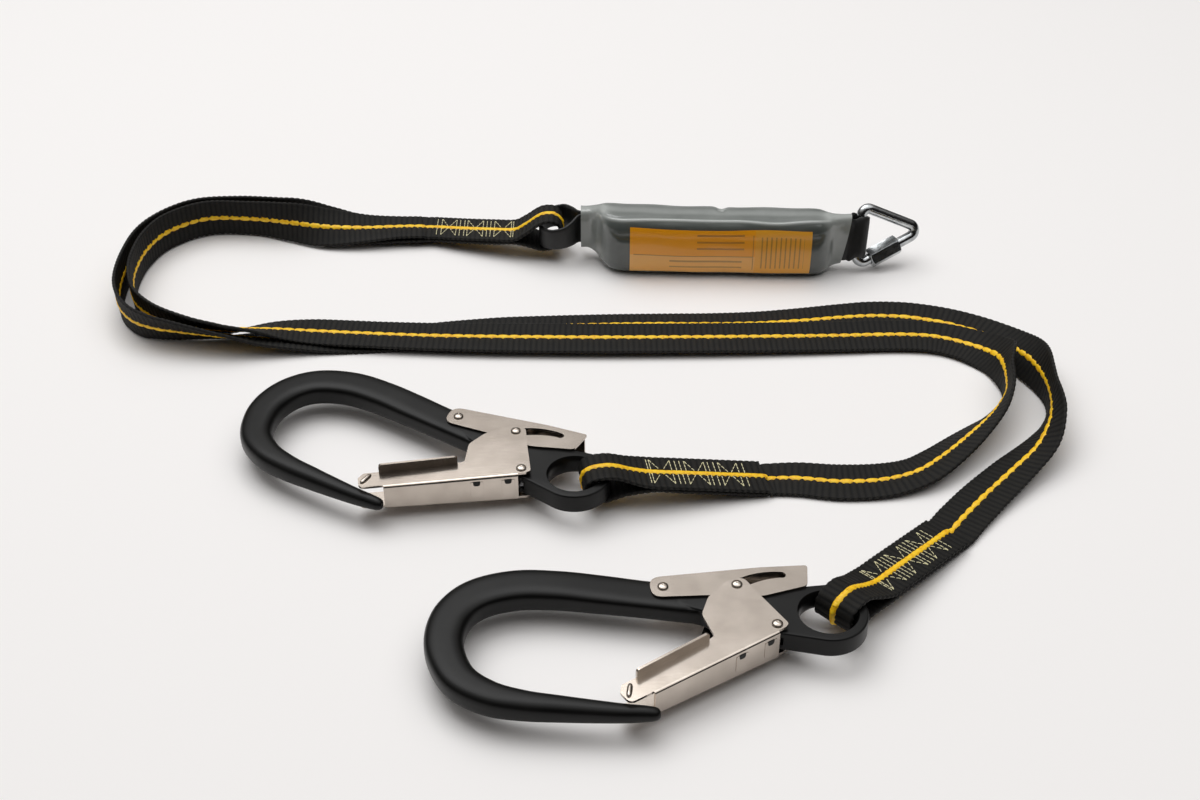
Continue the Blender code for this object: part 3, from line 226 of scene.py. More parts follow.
LEG_B_ROUTE = [
    (-136, 1088.5, 5.2, 90), (-153, 1088.2, 5.4, 88), (-178, 1087.6, 7.0, 76), (-206, 1089.0, 11.0, 50),
    (-241, 1094.5, 15.4, 6), (-272, 1099, 15.4, -4), (-303, 1095, 15.4, -3), (-324.5, 1078, 15.4, -1),
    (-338, 1053, 15.4, 0), (-342, 1021, 15.4, 0), (-340, 990, 15.4, 2), (-333, 969, 15.4, 6),
    (-320.5, 953, 15.4, 14), (-305.5, 945.5, 15.0, 24), (-290, 943.2, 13.8, 33), (-273, 942, 12.0, 43),
    (-254, 941.5, 9.6, 55), (-230, 943.5, 6.2, 73), (-200, 946.5, 3.2, 85), (-178, 948, 1.9, 90),
    (-155, 949.5, 1.5, 90), (-132, 951.5, 1.5, 89), (-104, 956.5, 1.8, 88), (-80, 960, 2.2, 87),
    (-58, 962.2, 2.4, 86), (0, 965, 2.7, 85), (40, 966, 2.7, 85), (80, 966.5, 2.4, 87),
    (112, 967.8, 2.2, 90), (142, 970.5, 2.6, 93), (170, 973.6, 3.2, 96), (190, 974.5, 3.9, 99),
    (211, 972.8, 4.4, 101), (228, 968.8, 4.6, 102), (243, 963.0, 4.8, 103), (257, 955.2, 5.2, 104),
    (270, 944, 6.4, 107), (279.5, 930, 8.8, 119), (286.5, 914, 12.2, 138), (290.5, 897, 14.9, 159),
    (292.5, 880, 15.5, 175), (292, 865, 15.4, 177), (289.5, 851.5, 15.0, 164), (285, 838.5, 13.2, 146),
    (273.5, 819.5, 9.4, 119), (255, 800.5, 6.0, 104), (234, 778.5, 3.8, 95), (217, 758.5, 2.8, 91)]


# Node trees and materials

MATH = "ShaderNodeMath"
TIMES = {"operation": "MULTIPLY"}
TIMES_PLUS = {"operation": "MULTIPLY_ADD"}
UNSIGNED = {"operation": "ABSOLUTE"}
NEAR = {"operation": "COMPARE"}
ABOVE = {"operation": "GREATER_THAN"}


def linear(hex_colour):
    """sRGB hex to linear RGBA."""
    rgb = [int(hex_colour[i:i + 2], 16) / 255 for i in (1, 3, 5)]
    return [c / 12.92 if c <= 0.04045 else ((c + 0.055) / 1.055) ** 2.4 for c in rgb] + [1.0]


def live(sockets, name):
    """The socket of that name that the node's settings leave in use."""
    return next(socket for socket in sockets if socket.name == name and socket.enabled)


def node(tree, kind, output=None, settings=None, *values, **inputs):
    """Add a node with its own settings, and its inputs in order or by name: plain values or outputs.
    Returns the named output, or else the node."""
    made = tree.nodes.new(kind)
    for name, value in (settings or {}).items():
        setattr(made, name, value)
    given = list(zip(made.inputs, values))
    given += [(live(made.inputs, name.replace("_", " ")), value) for name, value in inputs.items()]
    for socket, value in given:
        if isinstance(value, bpy.types.NodeSocket):
            tree.links.new(value, socket)
        else:
            socket.default_value = value
    return live(made.outputs, output) if output else made


def with_stops(made, stops):
    """Give a ramp node its stops of (position, hex colour). Returns its colour."""
    band = made.color_ramp
    while len(band.elements) < len(stops):
        band.elements.new(0.5)
    for element, (position, colour) in zip(band.elements, stops):
        element.position = position
        element.color = linear(colour)
    return made.outputs["Color"]


def finish_of(name, **values):
    """A new material with its Principled shader's plain values, its tree and its shader."""
    made = bpy.data.materials.new(name)
    made.use_nodes = True
    shader = made.node_tree.nodes["Principled BSDF"]
    for socket, value in values.items():
        shader.inputs[socket.replace("_", " ")].default_value = value
    return made, made.node_tree, shader


def dress(tree, shader, colour, height, strength, depth):
    """Wire a colour and a bump into a shader."""
    tree.links.new(colour, shader.inputs["Base Color"])
    bump = node(tree, "ShaderNodeBump", "Normal", Height=height, Strength=strength, Distance=depth)
    tree.links.new(bump, shader.inputs["Normal"])


def per_metre(*sizes):
    """Pattern scale from the size of its features in mm."""
    scales = [1 / (size * MM) for size in sizes]
    return scales if len(scales) > 1 else scales[0]


def clouded(name, size, stops, grain, detail, strength, depth, **values):
    """A finish whose colour drifts between stops in soft clouds, over a grain of bumps. Sizes in mm."""
    made, tree, shader = finish_of(name, **values)
    place = node(tree, "ShaderNodeTexCoord", "Object")
    clouds = node(tree, "ShaderNodeTexNoise", "Fac", Vector=place, Scale=per_metre(size), Detail=5.0)
    marks = node(tree, "ShaderNodeMapping", "Vector", Vector=place, Scale=per_metre(*grain))
    bumps = node(tree, "ShaderNodeTexNoise", "Fac", Vector=marks, Scale=1.0, Detail=detail)
    colour = with_stops(node(tree, "ShaderNodeValToRGB", Fac=clouds), stops)
    dress(tree, shader, colour, bumps, strength, depth)
    return made


def plain_finish(name, colour, **values):
    return finish_of(name, Base_Color=linear(colour), **values)[0]


def woven_polyester():
    """Black woven polyester: dull ribs of twisted yarn, lighter on the rib crests as a painted highlight and
    darker in the valleys as painted shade, mottled by a speckle.
    """
    made, tree, shader = finish_of("woven_polyester", Roughness=0.7, Specular_IOR_Level=0.3)
    place = node(tree, "ShaderNodeUVMap", "UV")
    # The yarn is drawn about twice as coarse as it is, so that it shows
    yarn = node(tree, "ShaderNodeMapping", "Vector", Vector=place, Scale=per_metre(0.6667, 1.2195, 1000.0),
                Rotation=(0.0, 0.0, radians(18)))
    weave = node(tree, "ShaderNodeTexWave", "Fac", {"wave_type": "BANDS", "bands_direction": "X"},
                 Vector=yarn, Scale=0.32, Distortion=1.2, Detail=2.0)
    speckle = node(tree, "ShaderNodeTexNoise", "Fac", Vector=node(tree, "ShaderNodeTexCoord", "Object"),
                Scale=per_metre(8.333), Detail=6.0)
    mixed = node(tree, "ShaderNodeMix", "Result", {"data_type": "FLOAT"}, Factor=0.5, A=weave, B=speckle)
    run = node(tree, "ShaderNodeSeparateXYZ", "Y", Vector=place)
    # Painted light: the colour follows the ribs of the mesh, with a painted highlight on each crest and
    # painted shade in the valleys
    phase = node(tree, MATH, "Value", TIMES, run, pi / RIB_PITCH)
    crest = node(tree, MATH, "Value", UNSIGNED, node(tree, MATH, "Value", {"operation": "COSINE"}, phase))
    light = node(tree, MATH, "Value", TIMES, crest, mixed)
    colour = with_stops(node(tree, "ShaderNodeValToRGB", Fac=light),
                        [(0.05, "#020202"), (0.3, "#0e0d0b"), (0.55, "#201e1a")])
    dress(tree, shader, colour, weave, 0.5, 0.0003)
    return made


def shrunk_film():
    """Smoky clear film shrunk over dark webbing: dark where it lies close, paler where it stands off and at
    its ends, with painted light in its paleness: a lighter top face, painted highlights on the corner ridges
    and the nick, and a painted floor reflection on the lower ridge.
    """
    made, tree, shader = finish_of("shrunk_film", Roughness=0.16, Coat_Weight=0.5, Coat_Roughness=0.05)
    place = node(tree, "ShaderNodeTexCoord", "Object")
    haze = node(tree, "ShaderNodeTexNoise", "Fac", Vector=place, Scale=per_metre(14.286), Detail=4.0)
    creases = node(tree, "ShaderNodeTexNoise", "Fac", Vector=place, Scale=per_metre(18.182), Detail=3.0)
    # The pale attribute is partly the film's own tone and partly painted light: lighter top, painted
    # highlights and painted floor reflection on the ridges
    pale = node(tree, "ShaderNodeAttribute", "Fac", {"attribute_name": "pale"})
    drift = node(tree, MATH, "Value", TIMES_PLUS, haze, 0.22, pale)
    colour = with_stops(node(tree, "ShaderNodeValToRGB", Fac=drift),
                        [(0.1, "#343937"), (0.5, "#656a67"), (1.1, "#a3a7a4")])
    dress(tree, shader, colour, creases, 0.25, 0.001)
    return made


def label_film():
    """Unprinted orange label film: a deeper end panel, and rules that divide and line its fields."""
    made, tree, shader = finish_of("label_film", Roughness=0.32, Coat_Weight=0.4, Coat_Roughness=0.08)
    place = node(tree, "ShaderNodeSeparateXYZ", Vector=node(tree, "ShaderNodeUVMap", "UV"))
    along, up = place.outputs["X"], place.outputs["Y"]

    def within(line, span, centre, half):
        field = node(tree, MATH, "Value", NEAR, span, centre, half)
        return node(tree, MATH, "Value", TIMES, line, field)

    def rule(level, position, thin, *field):
        return within(node(tree, MATH, "Value", NEAR, level, position, thin), *field)

    def lines(level, pitch, thin, block, *field):
        step = node(tree, MATH, "Value", {"operation": "WRAP"}, level, pitch / 2, -pitch / 2)
        step = node(tree, MATH, "Value", UNSIGNED, step)
        line = node(tree, MATH, "Value", {"operation": "LESS_THAN"}, step, thin)
        return within(within(line, level, *block), *field)

    dark = rule(up, 0.42, 0.012, along, 0.35, 0.33)
    for other in (rule(along, 0.68, 0.0026, up, 0.5, 0.4),
                  lines(along, 0.026, 0.004, (0.84, 0.12), up, 0.5, 0.36),
                  lines(up, 0.15, 0.022, (0.72, 0.2), along, 0.5, 0.13),
                  lines(up, 0.15, 0.022, (0.24, 0.1), along, 0.42, 0.2)):
        dark = node(tree, MATH, "Value", {"operation": "MAXIMUM"}, dark, other)
    colour = linear("#f4b458")
    for share, over in ((node(tree, MATH, "Value", ABOVE, up, 0.42), "#f6a210"),
                        (node(tree, MATH, "Value", ABOVE, along, 0.69), "#f2aa30"),
                        (node(tree, MATH, "Value", TIMES, dark, 0.55), "#6d4a1c")):
        colour = node(tree, "ShaderNodeMix", "Result", {"data_type": "RGBA"}, Factor=share, A=colour,
                      B=linear(over))
    tree.links.new(colour, shader.inputs["Base Color"])
    return made


# Sizes of clouds and grain are in mm. Grain is drawn coarser than it is, so that it shows.
FINISH = {
    "webbing": woven_polyester(), "sleeve": shrunk_film(), "label": label_film(),
    # Bright yellow warp floats, soiled a little between them
    "stripe": clouded("stripe_yarn", 2.381, [(0.3, "#e8a800"), (0.5, "#ffc90c"), (0.75, "#ffd92e")],
                      (0.6667, 0.6667, 0.6667), 2.0, 0.2, 0.0002, Roughness=0.5),
    # Flat tape of the absorber's end loops: smoother than the legs, with a dull shine
    "tape": clouded("tear_tape", 9.091, [(0.35, "#0a0a0a"), (0.75, "#181818")],
                    (1.4286, 1.4286, 1.4286), 3.0, 0.3, 0.0003, Roughness=0.5),
    # Forged steel under black powder coat: satin and faintly pebbled
    "forging": clouded("powder_coat", 18.182, [(0.35, "#090909"), (0.7, "#111110")],
                       (0.6667, 0.6667, 0.6667), 2.0, 0.1, 0.0002, Roughness=0.34, Specular_IOR_Level=0.22),
    # Cold-rolled stainless sheet, tumbled: satin grey with a warm cast and faint marks
    "stainless": clouded("rolled_stainless", 22.222, [(0.3, "#b1a79d"), (0.7, "#c5bbb1")],
                         (8.333, 1.1111, 1.1111), 3.0, 0.08, 0.0002, Metallic=1.0, Roughness=0.21),
    # Bright zinc plate on bent bar: mirror-like with a milky cast and fine pits
    "zinc": clouded("bright_zinc", 6.25, [(0.3, "#9fa2a4"), (0.7, "#cfd2d3")],
                    (3.8462, 3.8462, 3.8462), 5.0, 0.25, 0.0003, Metallic=1.0, Roughness=0.17),
    "thread": plain_finish("sewing_thread", "#e6dfb4", Roughness=0.6),
    "spring_steel": plain_finish("spring_wire", "#8a8a8c", Metallic=1.0, Roughness=0.3)}


# Shapes

def smooth_through(points, count):
    """Catmull-Rom curve through rows of numbers, sampled evenly along its length."""
    rows = [Vector(row) for row in points]
    padded = [2 * rows[0] - rows[1]] + rows + [2 * rows[-1] - rows[-2]]
    fine = []
    for a, b, c, d in zip(padded, padded[1:], padded[2:], padded[3:]):
        for step in range(24):
            t = step / 24
            bend = (2 * a - 5 * b + 4 * c - d) * t ** 2 + (3 * (b - c) + d - a) * t ** 3
            fine.append(b + ((c - a) * t + bend) / 2)
    fine.append(rows[-1])
    run = [0.0]
    for here, there in zip(fine, fine[1:]):
        run.append(run[-1] + Vector((there - here)[:3]).length)
    result = []
    for i in range(count):
        goal = run[-1] * i / (count - 1)
        j = min(bisect(run, goal), len(run) - 1) - 1
        share = (goal - run[j]) / max(run[j + 1] - run[j], 1e-12)
        result.append(fine[j] + (fine[j + 1] - fine[j]) * min(share, 1.0))
    return result


def path_length(rows):
    return sum(Vector((b - a)[:3]).length for a, b in zip(rows, rows[1:]))


def shown(name, data):
    """A new object in the scene."""
    made = bpy.data.objects.new(name, data)
    bpy.context.scene.collection.objects.link(made)
    return made


def piece(name, data, finish, body, smooth_deg, *replaced):
    """A mesh shown in the row frame, riding on a body and standing for CAD nodes."""
    data.name = name
    data.materials.clear()
    data.materials.append(FINISH[finish])
    if not data.has_custom_normals:
        data.shade_smooth()
        data.set_sharp_from_angle(angle=radians(smooth_deg))
    made = shown(name, data)
    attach(made, body)
    if replaced:
        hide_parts(*replaced)
    return made


def settled(holder):
    """The plain mesh of an object after its modifiers. The object goes."""
    bpy.context.view_layer.update()
    made = bpy.data.meshes.new_from_object(holder.evaluated_get(bpy.context.evaluated_depsgraph_get()))
    bpy.data.objects.remove(holder)
    return made


def worked(data, kind, **values):
    """A mesh after one modifier."""
    holder = shown("work", data)
    step = holder.modifiers.new("step", kind)
    for name, value in values.items():
        setattr(step, name, value)
    return settled(holder)


def combine(operation, base, *tools):
    """A mesh after one boolean with each tool."""
    for tool in tools:
        cutter = shown("tool", tool)
        base = worked(base, "BOOLEAN", operation=operation, object=cutter, solver="EXACT")
        bpy.data.objects.remove(cutter)
    return base


def eased(data, width):
    """Sharp edges rounded, as sheet or machined edges are, with flat faces that shade flat."""
    data.shade_smooth()
    return worked(data, "BEVEL", harden_normals=True, width=width, segments=2, limit_method="ANGLE",
                  angle_limit=radians(32), use_clamp_overlap=True)


def arc_points(centre, radius, start_deg, end_deg, steps):
    points = []
    for i in range(steps + 1):
        angle = radians(start_deg + (end_deg - start_deg) * i / steps)
        points.append(Vector((centre[0] + radius * cos(angle), centre[1] + radius * sin(angle))))
    return points


def rounded(corners, steps=10):
    """Closed outline in metres through corners (x, y, radius) in mm, with each corner rounded."""
    points = []
    for i, (x, y, radius) in enumerate(corners):
        here = mm(x, y)
        before = mm(*corners[i - 1][:2]) - here
        after = mm(*corners[(i + 1) % len(corners)][:2]) - here
        half = before.angle(after) / 2
        if radius <= 0 or half > radians(88):
            points.append(here)
            continue
        reach = min(radius * MM / tan(half), 0.48 * before.length, 0.48 * after.length)
        start = here + before.normalized() * reach
        end = here + after.normalized() * reach
        for k in range(steps + 1):
            t = k / steps
            points.append(start * (1 - t) ** 2 + here * 2 * t * (1 - t) + end * t ** 2)
    return points


def mesh_of(shape):
    """A mesh from a bmesh, with its faces looking outwards."""
    bmesh.ops.recalc_face_normals(shape, faces=shape.faces)
    made = bpy.data.meshes.new("shape")
    shape.to_mesh(made)
    shape.free()
    return made


def loft(rows, closed=True, capped=True, uv_of=None):
    """Surface through rows of equally many points. uv_of gives the UV of a row's point."""
    shape = bmesh.new()
    uv = shape.loops.layers.uv.new("UVMap") if uv_of else None
    spots = [[shape.verts.new(point) for point in row] for row in rows]
    count = len(spots[0])
    for i in range(len(spots) - 1):
        for k in range(count if closed else count - 1):
            j = (k + 1) % count
            corners = ((i, k), (i, j), (i + 1, j), (i + 1, k))
            face = shape.faces.new([spots[a][b] for a, b in corners])
            if uv_of:
                for loop, corner in zip(face.loops, corners):
                    loop[uv].uv = uv_of(*corner)
    if capped:
        shape.faces.new(list(reversed(spots[0])))
        shape.faces.new(spots[-1])
    return mesh_of(shape)


def prism(outline, low, high):
    """Closed solid over a plan outline. low and high are heights or functions of the point."""
    levels = [level if callable(level) else lambda point, level=level: level for level in (low, high)]
    return loft([[(p[0], p[1], level(p)) for p in outline] for level in levels])


def lathe(profile, steps, place=(0.0, 0.0), dip=0.0):
    """Solid of revolution about Z from (radius, height) pairs, with a fan dipping in at both ends."""
    shape = bmesh.new()
    x, y = place
    turns = [2 * pi * i / steps for i in range(steps)]
    rings = [[shape.verts.new((x + r * cos(a), y + r * sin(a), h)) for a in turns] for r, h in profile]
    low_tip, high_tip = [shape.verts.new((x, y, h)) for h in (profile[0][1] + dip, profile[-1][1] - dip)]
    for i in range(steps):
        j = (i + 1) % steps
        shape.faces.new((low_tip, rings[0][j], rings[0][i]))
        shape.faces.new((high_tip, rings[-1][i], rings[-1][j]))
        for low, high in zip(rings, rings[1:]):
            shape.faces.new((low[i], low[j], high[j], high[i]))
    return mesh_of(shape)


def superellipse(half_u, half_v, power, count):
    points = []
    for i in range(count):
        angle = 2 * pi * (i + 0.5) / count
        c, s = cos(angle), sin(angle)
        scale = (abs(c) ** power + abs(s) ** power) ** (-1.0 / power)
        points.append((half_u * c * scale, half_v * s * scale))
    return points


def tube(centres, radii, sides):
    """Round bar through points, with a radius for each."""
    rings = []
    last = len(centres) - 1
    across = (centres[1] - centres[0]).orthogonal()
    for i, (centre, r) in enumerate(zip(centres, radii)):
        along = (centres[min(i + 1, last)] - centres[max(i - 1, 0)]).normalized()
        across = (across - along * across.dot(along)).normalized()
        other = along.cross(across)
        rings.append([centre + (across * cos(a) + other * sin(a)) * r
                      for a in (2 * pi * k / sides for k in range(sides))])
    return loft(rings)


def hook_point(hook, point):
    place = hook["pivot"] + Matrix.Rotation(radians(hook["turn"]), 2) @ Vector(point)
    return Vector((place.x, place.y, HOOK_PLANE_Z))


def strap_way(hook):
    """The way from a hook's eye along its strap."""
    strap = radians(hook["strap"])
    return Vector((cos(strap), sin(strap), 0.0))


def bar_place(hook):
    """Middle of the eye's bar, where the strap holds it."""
    return hook_point(hook, EYE_CENTRE) + strap_way(hook) * (EYE_HOLE_R + EYE_WALL / 2)


# Webbing section: share of the half width, share of the half thickness
WEB_SECTION = [(-0.985, 0.55), (-0.93, 0.98), (-0.86, 0.74), (-0.5, 0.84), (-0.16, 0.84)]
WEB_SECTION += [(-u, w) for u, w in reversed(WEB_SECTION)]
WEB_SECTION += [(-u, -w) for u, w in WEB_SECTION]
TAPE_SECTION = [(-0.99, 0.4), (-0.95, 0.85), (-0.7, 1.0), (0.7, 1.0), (0.95, 0.85), (0.99, 0.4)]
TAPE_SECTION += [(-u, -w) for u, w in TAPE_SECTION]
SECTION_EDGE = 0.8


class Strip:
    """Webbing along a path: its middle line, its edges and the way its face looks at every station."""

    def __init__(self, centres, halves):
        self.centres = centres
        self.halves = halves
        self.runs = [0.0]
        for a, b in zip(centres, centres[1:]):
            self.runs.append(self.runs[-1] + (b - a).length)
        last = len(centres) - 1
        self.alongs = [(centres[min(i + 3, last)] - centres[max(i - 3, 0)]).normalized()
                       for i in range(last + 1)]
        self.outs = [way.cross(half).normalized() for way, half in zip(self.alongs, halves)]

    def at(self, run):
        """Centre, half width vector, way along and way out at a run."""
        i = min(max(bisect(self.runs, run) - 1, 0), len(self.runs) - 2)
        share = (run - self.runs[i]) / max(self.runs[i + 1] - self.runs[i], 1e-9)
        return self.centres[i].lerp(self.centres[i + 1], share), self.halves[i], self.alongs[i], self.outs[i]

    def mesh(self, section, thick, rib, edge_rib):
        """Its surface, with ribs across it every RIB_PITCH and an edge that they notch."""
        rings = []
        for centre, half, out, run in zip(self.centres, self.halves, self.outs, self.runs):
            crest = 2 * abs(cos(pi * run / RIB_PITCH)) ** 0.55 - 1
            ring = []
            for u, w in section:
                edge = abs(u) > SECTION_EDGE
                swell = 1.0 + (0.3 if edge else 1.0) * rib * crest
                reach = u * (1.0 + (edge_rib * crest if edge else 0.0))
                ring.append(centre + half * reach + out * (w * swell * thick / 2))
            rings.append(ring)
        width = self.halves[0].length
        return loft(rings, uv_of=lambda i, k: (section[k][0] * width, self.runs[i]))


def strip_count(rows):
    return max(int(path_length(rows) / RIB_PITCH + 0.5), 1) * RIB_STEPS + 1


def strap_piece(name, strip, rib, replaced):
    mesh = strip.mesh(WEB_SECTION, WEB_THICK, rib, EDGE_RIB)
    return piece(name, mesh, "webbing", "webbing", 75.0, replaced)


# Beads and stitches, scattered by a node tree on guide points

BEADS = []
STITCHES = []
BEAD_SEAT = 0.44 * WEB_THICK
STITCH_SEAT = 0.52 * WEB_THICK


def bead_places(strip, faces, pitch):
    """Guide points of a strip's stripe: place, way along, way out."""
    count = int(strip.runs[-1] / pitch)
    for i in range(count):
        centre, _, along, out = strip.at(strip.runs[-1] * (i + 0.5) / count)
        for face in faces:
            BEADS.append((centre + out * (face * BEAD_SEAT), along, out * face))


def stitch_line(strip, start, end):
    """Stitches from (run, across) to (run, across) on a strip's face, none of them on its stripe."""
    first, last = Vector(start), Vector(end)
    count = max(int((last - first).length / STITCH_PITCH + 0.5), 1)
    for i in range(count):
        here = first.lerp(last, (i + 0.5) / count)
        ahead = first.lerp(last, (i + 0.9) / count)
        if abs(here.y) < STITCH_LENGTH * 0.8:
            continue
        centre, half, _, out = strip.at(here.x)
        next_centre, next_half, _, _ = strip.at(ahead.x)
        place = centre + half.normalized() * here.y
        way = (next_centre + next_half.normalized() * ahead.y - place).normalized()
        STITCHES.append((place + out * STITCH_SEAT, way, out))


def sewn_pattern(strip, run_at):
    """Bars and crosses of a sewn eye. run_at turns a distance from the bar into the strip's run."""
    for bar in STITCH_BARS:
        run = run_at(bar * MM)
        stitch_line(strip, (run, STITCH_REACH), (run, -STITCH_REACH))
    for near, far in STITCH_CROSSES:
        a, b = run_at(near * MM), run_at(far * MM)
        for reach in (STITCH_REACH, -STITCH_REACH):
            stitch_line(strip, (a, reach), (b, -reach))


def bead_mesh():
    """One warp float of the stripe: a long pillow, drawn in at both ends."""
    steps, across = 8, 5
    grid = []
    for i in range(steps + 1):
        t = i / steps
        full = sin(pi * t) ** 0.6 if 0 < i < steps else 0.0
        row = []
        for k in range(across + 1):
            u = 2 * k / across - 1
            y = u * BEAD_WIDTH / 2 * (0.5 + 0.5 * full)
            dome = (1 - u * u) ** 0.5 * (0.35 + 0.65 * full) if abs(u) < 1 else -0.4
            row.append(((t - 0.5) * BEAD_LENGTH, y, BEAD_HEIGHT * dome))
        grid.append(row)
    return loft(grid, False, False)


def stitch_mesh():
    """One stitch: a short thread that dips into the webbing at both ends."""
    points = [Vector(((i / 6 - 0.5) * STITCH_LENGTH, 0.0, (sin(pi * i / 6) ** 0.5 - 0.55) * THREAD_ARCH))
              for i in range(7)]
    return tube(points, [THREAD_R] * 7, 6)


def scatter_tree(name, unit):
    """Node tree that puts a unit on every guide point, turned by its attributes."""
    tree = bpy.data.node_groups.new(name, "GeometryNodeTree")
    for label, kind, value in (("Guide", "Geometry", None), ("Least size", "Float", 0.94),
                               ("Greatest size", "Float", 1.06), ("Seed", "Int", 11),
                               ("Finish", "Material", None)):
        socket = tree.interface.new_socket(label, in_out="INPUT", socket_type=f"NodeSocket{kind}")
        if value is not None:
            socket.default_value = value
    tree.interface.new_socket("Pieces", in_out="OUTPUT", socket_type="NodeSocketGeometry")
    given = node(tree, "NodeGroupInput").outputs
    along, out = (node(tree, "GeometryNodeInputNamedAttribute", "Attribute", {"data_type": "FLOAT_VECTOR"},
                       Name=label) for label in ("along", "out"))
    turn = node(tree, "FunctionNodeAxesToRotation", "Rotation", {"primary_axis": "Z", "secondary_axis": "X"},
                Primary_Axis=out, Secondary_Axis=along)
    size = node(tree, "FunctionNodeRandomValue", "Value", {"data_type": "FLOAT"},
                Min=given["Least size"], Max=given["Greatest size"], Seed=given["Seed"])
    source = node(tree, "GeometryNodeObjectInfo", "Geometry", Object=unit, As_Instance=True)
    spread = node(tree, "GeometryNodeInstanceOnPoints", "Instances", Points=given["Guide"], Instance=source,
                  Rotation=turn, Scale=size)
    real = node(tree, "GeometryNodeRealizeInstances", "Geometry", Geometry=spread)
    painted = node(tree, "GeometryNodeSetMaterial", "Geometry", Geometry=real, Material=given["Finish"])
    node(tree, "NodeGroupOutput", Pieces=painted)
    return tree


def scatter(name, guides, unit_mesh, finish):
    """One plain mesh of units on guide points, riding on the webbing."""
    unit = shown(f"{name}_unit", unit_mesh)
    points = bpy.data.meshes.new(f"{name}_guide")
    points.from_pydata([tuple(row[0]) for row in guides], [], [])
    for label, column in (("along", 1), ("out", 2)):
        layer = points.attributes.new(label, "FLOAT_VECTOR", "POINT")
        layer.data.foreach_set("vector", [value for row in guides for value in row[column]])
    holder = shown(f"{name}_guide", points)
    step = holder.modifiers.new("scatter", "NODES")
    step.node_group = scatter_tree(f"{name}_scatter", unit)
    socket = next(item for item in step.node_group.interface.items_tree if item.name == "Finish")
    step[socket.identifier] = FINISH[finish]
    made = settled(holder)
    bpy.data.objects.remove(unit)
    piece(name, made, finish, "webbing", 60.0)


# The two legs

def leg_rows(route, hook, layer):
    """Rows (x, y, z, lean) of a leg from the sewn centre to its hook's tab."""
    start = Vector((CENTRE_LOOP_START - GAP, CENTRE_LOOP_Y, CENTRE_LOOP_START_Z + layer * SEWN_THICK / 4))
    way = strap_way(hook)
    end = bar_place(hook) + way * (HOOK_TAB_END + GAP)
    end.z = HOOK_PLANE_Z - EYE_TAB_DROP - SEWN_THICK / 4
    first = [(*start, FLAT), (start.x - END_RUN, start.y, start.z, FLAT)]
    last = [(*(end + way * END_RUN), FLAT), (*end, FLAT)]
    return first + [(x * MM, y * MM, z * MM, lean) for x, y, z, lean in route] + last


def leg(letter, route, hook, layer):
    """One leg: ribbed webbing on its route, nowhere below the floor, with a stripe on both faces."""
    rows = leg_rows(route, hook, layer)
    rows = smooth_through(rows, strip_count(smooth_through(rows, 300)))
    centres = [Vector(row[:3]) for row in rows]
    halves = []
    for i, row in enumerate(rows):
        along = centres[min(i + 2, len(rows) - 1)] - centres[max(i - 2, 0)]
        left = Vector((-along.y, along.x, 0.0)).normalized()
        lean = radians(row[3])
        resting = WEB_WIDTH / 2 * abs(cos(lean)) + WEB_THICK / 2 * abs(sin(lean)) + GAP
        centres[i].z = max(centres[i].z, resting)
        halves.append((left * sin(lean) - Vector((0, 0, cos(lean)))) * (WEB_WIDTH / 2))
    strip = Strip([centre + SHIFT for centre in centres], halves)
    made = strap_piece(f"leg_{letter}_strap", strip, LEG_RIB, f"leg_{letter}_webbing")
    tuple(strip.centres[0])
    path_length(rows)
    [list(p) for p in strip.centres[::8] + [strip.centres[-1]]]
    bead_places(strip, (1, -1), BEAD_PITCH)


# Sewn eyes

def even_points(start, end):
    return [Vector(start).lerp(Vector(end), i / 4) for i in range(5)]


def loop_line(size, drop, shoulder, tab_end, tab_drop):
    """Side view (run, height) of one strap from a tab's end over a loop and back beneath it."""
    reach, roof, floor = (size[key] * MM + WEB_THICK / 2 for key in ("reach", "roof", "floor"))
    join, layer = size["join"] * MM, SEWN_THICK / 4
    line = even_points((tab_end, layer - tab_drop), (join, layer - drop)) + shoulder
    for i in range(13):
        angle = radians(size["crest"] + (LOOP_FOOT_DEG - size["crest"]) * i / 12)
        height = roof if angle < pi else floor
        c, s = cos(angle), sin(angle)
        grow = (abs(c) ** LOOP_SQUARE + abs(s) ** LOOP_SQUARE) ** (-1 / LOOP_SQUARE)
        line.append(Vector((reach * c * grow, height * s * grow)))
    line += [Vector((0.0, -floor)), Vector((join * 0.45, -floor - (drop + layer - floor) * 0.6))]
    return line + even_points((join, -layer - drop), (tab_end, -layer - tab_drop))


def sewn_eye(name, line, width_at, place_of, run_at, rib, replaced):
    """Strap through a side view, set in the row frame by place_of, with its stripe and stitches."""
    flat = [(run, 0.0, height) for run, height in line]
    rows = smooth_through(flat, strip_count(smooth_through(flat, 200)))
    halves = []
    for row in rows:
        aside = Vector((0.0, width_at(row.x), 0.0))
        halves.append((place_of(row - aside) - place_of(row + aside)) / 2)
    strip = Strip([place_of(row) for row in rows], halves)
    strap_piece(name, strip, rib, replaced)
    bead_places(strip, (1,), BEAD_PITCH / 2)
    sewn_pattern(strip, run_at)


def hook_eye(letter, hook):
    """The strap's end: over the hook's eye, back beneath its own tab, and sewn to it."""
    drop, join = hook["drop"], EYE_LOOP["join"] * MM
    shoulder = [mm(15.5, 4.6 - drop * 0.7), mm(7.5, 7.6 - drop * 0.4), mm(2.0, 8.9 - drop * 0.1)]
    turn = Matrix.Translation(bar_place(hook) + SHIFT) @ Matrix.Rotation(radians(hook["strap"]), 4, "Z")

    def width_at(run):
        share = min(max((run - EYE_LOOP_NARROW) / (join - EYE_LOOP_NARROW), 0.0), 1.0)
        return (EYE_LOOP_WIDTH + (WEB_WIDTH - EYE_LOOP_WIDTH) * share * share * (3 - 2 * share)) / 2

    line = loop_line(EYE_LOOP, drop * MM, shoulder, HOOK_TAB_END, EYE_TAB_DROP)
    sewn_eye(f"hook_{letter}_eye_strap", line, width_at, lambda p: turn @ p, lambda bar: HOOK_TAB_END - bar,
             EYE_RIB, f"hook_{letter}_eye_loop")


